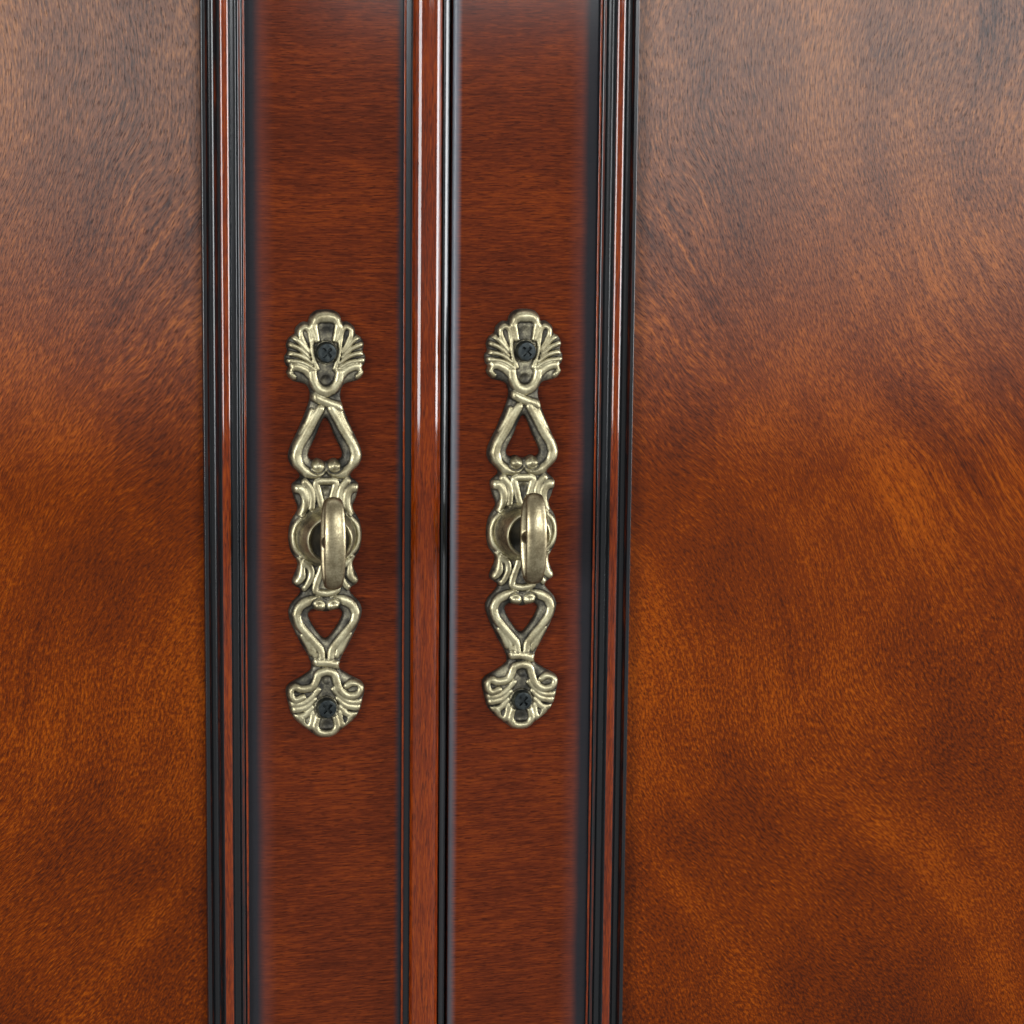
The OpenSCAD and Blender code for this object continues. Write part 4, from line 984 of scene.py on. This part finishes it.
def plates():
    """The same casting on each door, in the place of the CAD plate."""
    points, faces, wear = plate_shape()
    for side, x in HANDLE_X.items():
        placed = [(px + x, py, pz + HANDLE_Z) for px, py, pz in points]
        piece = make_piece(side + "_plate_relief", placed, faces, side + "_door",
                           side + "_handle_plate", RELIEF_BRASS, 60.0)
        add_attribute(piece, "wear", wear)


BOW_OUT = 24.0
BOW_DEPTH = 12.0
BOW_H = 31.0
BOW_W = 7.5
BOW_RIM = 3.0
BOW_WAIST = (0.97, 0.17)  # share of the width at the sides, and how much it loses at the ends
STEM_R = 3.0
SPOKE_RADII = (3.1, 2.5)


def bow(side, x):
    """An oval ring on edge with a spoke and a stem, fused as one casting."""
    middle = Vector((x, FACE_Y - BOW_OUT + BOW_DEPTH / 2, HANDLE_Z - BOSS_DROP))
    points, faces = [], []
    turns, around = 96, 28
    for i in range(turns):
        t = 2 * math.pi * i / turns
        half = BOW_DEPTH / 2 - BOW_RIM / 2, BOW_H / 2 - BOW_RIM / 2
        centre = middle + Vector((0, half[0] * math.cos(t), half[1] * math.sin(t)))
        outward = Vector((0, math.cos(t) / half[0], math.sin(t) / half[1])).normalized()
        half_w = BOW_W / 2 * (BOW_WAIST[0] - BOW_WAIST[1] * abs(math.sin(t)) ** 3)
        for k in range(around):
            s = 2 * math.pi * k / around
            across = math.cos(s) * half_w
            depth = math.sin(s) * BOW_RIM / 2
            points.append(centre + Vector((across, 0, 0)) + outward * depth)
            faces.append((i * around + k, i * around + (k + 1) % around,
                          (i + 1) % turns * around + (k + 1) % around,
                          (i + 1) % turns * around + k))
    bars = [(STEM_R, STEM_R, 0.2, BOW_OUT - BOW_DEPTH + BOW_RIM / 2),
            (*SPOKE_RADII, BOW_OUT - BOW_DEPTH + 1, BOW_OUT - 1)]
    for half_x, half_z, low, high in bars:
        first, steps = len(points), 32
        for out in (low, high):
            points += [Vector((x + half_x * math.cos(2 * math.pi * k / steps), FACE_Y - out,
                               middle.z + half_z * math.sin(2 * math.pi * k / steps)))
                       for k in range(steps)]
        faces += [(first + k, first + (k + 1) % steps, first + steps + (k + 1) % steps,
                   first + steps + k) for k in range(steps)]
        faces += [tuple(range(first + steps - 1, first - 1, -1)),
                  tuple(range(first + steps, first + 2 * steps))]
    piece = make_piece(side + "_bow", points, faces, side + "_door", side + "_handle_bow",
                       BOW_BRASS, 180.0)
    fuse = piece.modifiers.new("fuse", "REMESH")
    fuse.mode = "VOXEL"
    fuse.voxel_size = 0.25 * MM
    fuse.use_smooth_shade = True
    soften = piece.modifiers.new("soften", "SMOOTH")
    soften.factor = 0.5
    soften.iterations = 6


plates()
for side, x in HANDLE_X.items():
    bow(side, x)


# Turned knobs

def knob_profile(r, out):
    """Rosette with a groove, neck and flattened ball; a ball of radius r, out from the door."""
    ball = arc((0.45 * r, out - 0.75 * r), (0.55 * r, 0.6 * r), -90, 90, 20)
    return [(0.0, 0.0), (1.25 * r, 0.0), (1.25 * r, 0.10 * r), (1.2 * r, 0.14 * r),
            (1.08 * r, 0.15 * r), (1.04 * r, 0.19 * r), (1.0 * r, 0.28 * r),
            (0.9 * r, 0.35 * r), (0.7 * r, 0.38 * r), (0.55 * r, 0.43 * r),
            (0.46 * r, 0.52 * r), (0.42 * r, 0.6 * r), (0.40 * r, 0.8 * r),
            (0.42 * r, out - 1.4 * r)] + ball + [(0.2 * r, out - 0.01 * r), (0.0, out)]


def knobs(name, places, r, out, body, node):
    """Equal knobs at their places, as one piece."""
    points, faces = [], []
    for place in places:
        add_part(points, faces, *turned_points(knob_profile(r, out), place, KNOB_STEPS))
    make_piece(name, points, faces, body, node, BRASS, 40.0)


KNOB_STEPS = 64
KNOB_R, KNOB_OUT = 9.0, 22.0
KNOB_SPACING = 210.0
DRAWER_MIDDLE = (225.0, 950.0)
SLIDE_KNOB_R, SLIDE_KNOB_OUT = 6.8, 16.0
SLIDE_KNOB_SPACING = 520.0
SLIDE_MIDDLE_Z = 860.0
for side, body in ((-1, "left_drawer"), (1, "right_drawer")):
    row = [(side * DRAWER_MIDDLE[0] + k * KNOB_SPACING / 2, DRAWER_MIDDLE[1])
           for k in (-1, 1)]
    knobs(body + "_turned_knobs", row, KNOB_R, KNOB_OUT, body, body + "_knobs")
slide_row = [(k * SLIDE_KNOB_SPACING / 2, SLIDE_MIDDLE_Z) for k in (-1, 1)]
knobs("mixing_slide_turned_knobs", slide_row, SLIDE_KNOB_R, SLIDE_KNOB_OUT, "mixing_slide",
      "slide_knobs")


# Floor, lights and camera

def seen_directly(tree):
    """1 for rays from the camera, also through glass or off a polished surface; else 0."""
    path = tree.nodes.new("ShaderNodeLightPath")
    seen = path.outputs["Is Camera Ray"]
    for other in ("Is Glossy Ray", "Is Transmission Ray"):
        either = tree.nodes.new("ShaderNodeMath")
        either.operation = "MAXIMUM"
        tree.links.new(seen, either.inputs[0])
        tree.links.new(path.outputs[other], either.inputs[1])
        seen = either.outputs[0]
    return seen


# From here on lengths are in metres
FLOOR_HALF_W = 9.0
FLOOR_GLOW = 0.72
ROOM = (0.12, 0.125, 0.135, 1)
BACKDROP = colour(198, 199, 201)


def make_floor():
    """A pale floor, partly of a fixed brightness where it is seen, so it stays even."""
    graph = Graph("pale_floor")
    cloud = graph.noise(graph.object_place(), (3, 3, 3), 3)
    pale = graph.ramp(cloud, [(0.3, colour(180, 180, 179)), (0.7, colour(186, 186, 185))])
    graph.paint(pale)
    graph.set(Roughness=0.85, Specular_IOR_Level=0.1)
    glow = graph.node("Emission")
    graph.feed(graph.ramp(cloud, [(0.3, colour(194, 195, 197)), (0.7, colour(197, 198, 200))]),
               glow.inputs["Color"])
    mix = graph.node("MixShader")
    graph.feed(graph.times(seen_directly(graph.tree), FLOOR_GLOW), mix.inputs[0])
    graph.tree.links.new(graph.shader.outputs[0], mix.inputs[1])
    graph.tree.links.new(glow.outputs[0], mix.inputs[2])
    graph.tree.links.new(mix.outputs[0], graph.tree.nodes["Material Output"].inputs[0])
    mesh = bpy.data.meshes.new("floor")
    corners = [(x * FLOOR_HALF_W, y * FLOOR_HALF_W, 0) for x, y in
               ((-1, -1), (1, -1), (1, 1), (-1, 1))]
    mesh.from_pydata(corners, [], [(0, 1, 2, 3)])
    mesh.materials.append(graph.material)
    floor = bpy.data.objects.new("floor", mesh)
    bpy.context.scene.collection.objects.link(floor)


def make_world():
    """A dim room that lights the cabinet, seen as a pale backdrop."""
    world = bpy.data.worlds.new("studio")
    world.use_nodes = True
    tree = world.node_tree
    room = tree.nodes["Background"]
    room.inputs["Color"].default_value = ROOM
    backdrop = tree.nodes.new("ShaderNodeBackground")
    backdrop.inputs["Color"].default_value = BACKDROP
    mix = tree.nodes.new("ShaderNodeMixShader")
    tree.links.new(seen_directly(tree), mix.inputs[0])
    tree.links.new(room.outputs[0], mix.inputs[1])
    tree.links.new(backdrop.outputs[0], mix.inputs[2])
    tree.links.new(mix.outputs[0], tree.nodes["World Output"].inputs["Surface"])
    bpy.context.scene.world = world


DAYLIGHT = (0.95, 0.98, 1.0)
CABINET_MIDDLE = (0, -0.2, 0.7)
LAMP_REACH = 3.1
# Softboxes round the cabinet: degrees to the right of the front, height, size and watts
ROUND_SOFTBOXES = (
    ("left_softbox", -50, 0.75, (1.15, 1.05), 70),
    ("right_softbox", 80, 0.75, (1.3, 1.05), 86),
    ("front_softbox", 24, 1.25, (1.80, 0.66), 46))
# Softboxes over and behind it: place, aim, size and watts
SOFT_FILLS = (
    ("top_softbox", (0, 0.3, 3.4), (0, 0.2, 0), (2.6, 2.6), 40),
    ("back_softbox", (0, 3.6, 1.6), (0, 0, 0.6), (2.8, 1.6), 44))


def softbox(name, place, aim, size, watts):
    """A rectangular lamp that the camera doesn't see."""
    light = bpy.data.lights.new(name, "AREA")
    light.shape = "RECTANGLE"
    light.size, light.size_y = size
    light.energy = watts
    light.color = DAYLIGHT
    lamp = bpy.data.objects.new(name, light)
    lamp.location = place
    lamp.rotation_euler = (Vector(aim) - Vector(place)).to_track_quat("-Z", "Y").to_euler()
    lamp.visible_camera = False
    bpy.context.scene.collection.objects.link(lamp)


def make_lights():
    """Narrow softboxes left and right, a low wide one in front, soft light from top and back."""
    for name, degrees, height, size, watts in ROUND_SOFTBOXES:
        turn = math.radians(degrees)
        place = (LAMP_REACH * math.sin(turn),
                 CABINET_MIDDLE[1] - LAMP_REACH * math.cos(turn), height)
        softbox(name, place, CABINET_MIDDLE, size, watts)
    for name, place, aim, size, watts in SOFT_FILLS:
        softbox(name, place, aim, size, watts)


# The photograph's view: where the camera is, its turn, tilt and roll in degrees, and its lens
CAMERA_PLACE = (-0.15425, -1.0, 0.638)
CAMERA_ANGLES = (13.11, 8.05, 0.58)
CAMERA_LENS, SENSOR_W = 84.375, 36


def make_camera():
    """Close to the doors, from the left, looking a little down."""
    yaw, pitch, roll = (math.radians(a) for a in CAMERA_ANGLES)
    forward = Vector((math.sin(yaw) * math.cos(pitch), math.cos(yaw) * math.cos(pitch),
                      -math.sin(pitch)))
    level = Vector((math.cos(yaw), -math.sin(yaw), 0))
    upward = level.cross(forward)
    right = level * math.cos(roll) + upward * math.sin(roll)
    up = upward * math.cos(roll) - level * math.sin(roll)
    data = bpy.data.cameras.new("photo_view")
    data.sensor_width = SENSOR_W
    data.lens = CAMERA_LENS
    data.clip_start = 0.01
    camera = bpy.data.objects.new("photo_view", data)
    turned = Matrix((right, up, -forward)).transposed().to_4x4()
    camera.matrix_world = Matrix.Translation(CAMERA_PLACE) @ turned
    bpy.context.scene.collection.objects.link(camera)
    bpy.context.scene.camera = camera


make_floor()
make_world()
make_lights()
make_camera()
bpy.context.scene.view_settings.view_transform = "Standard"
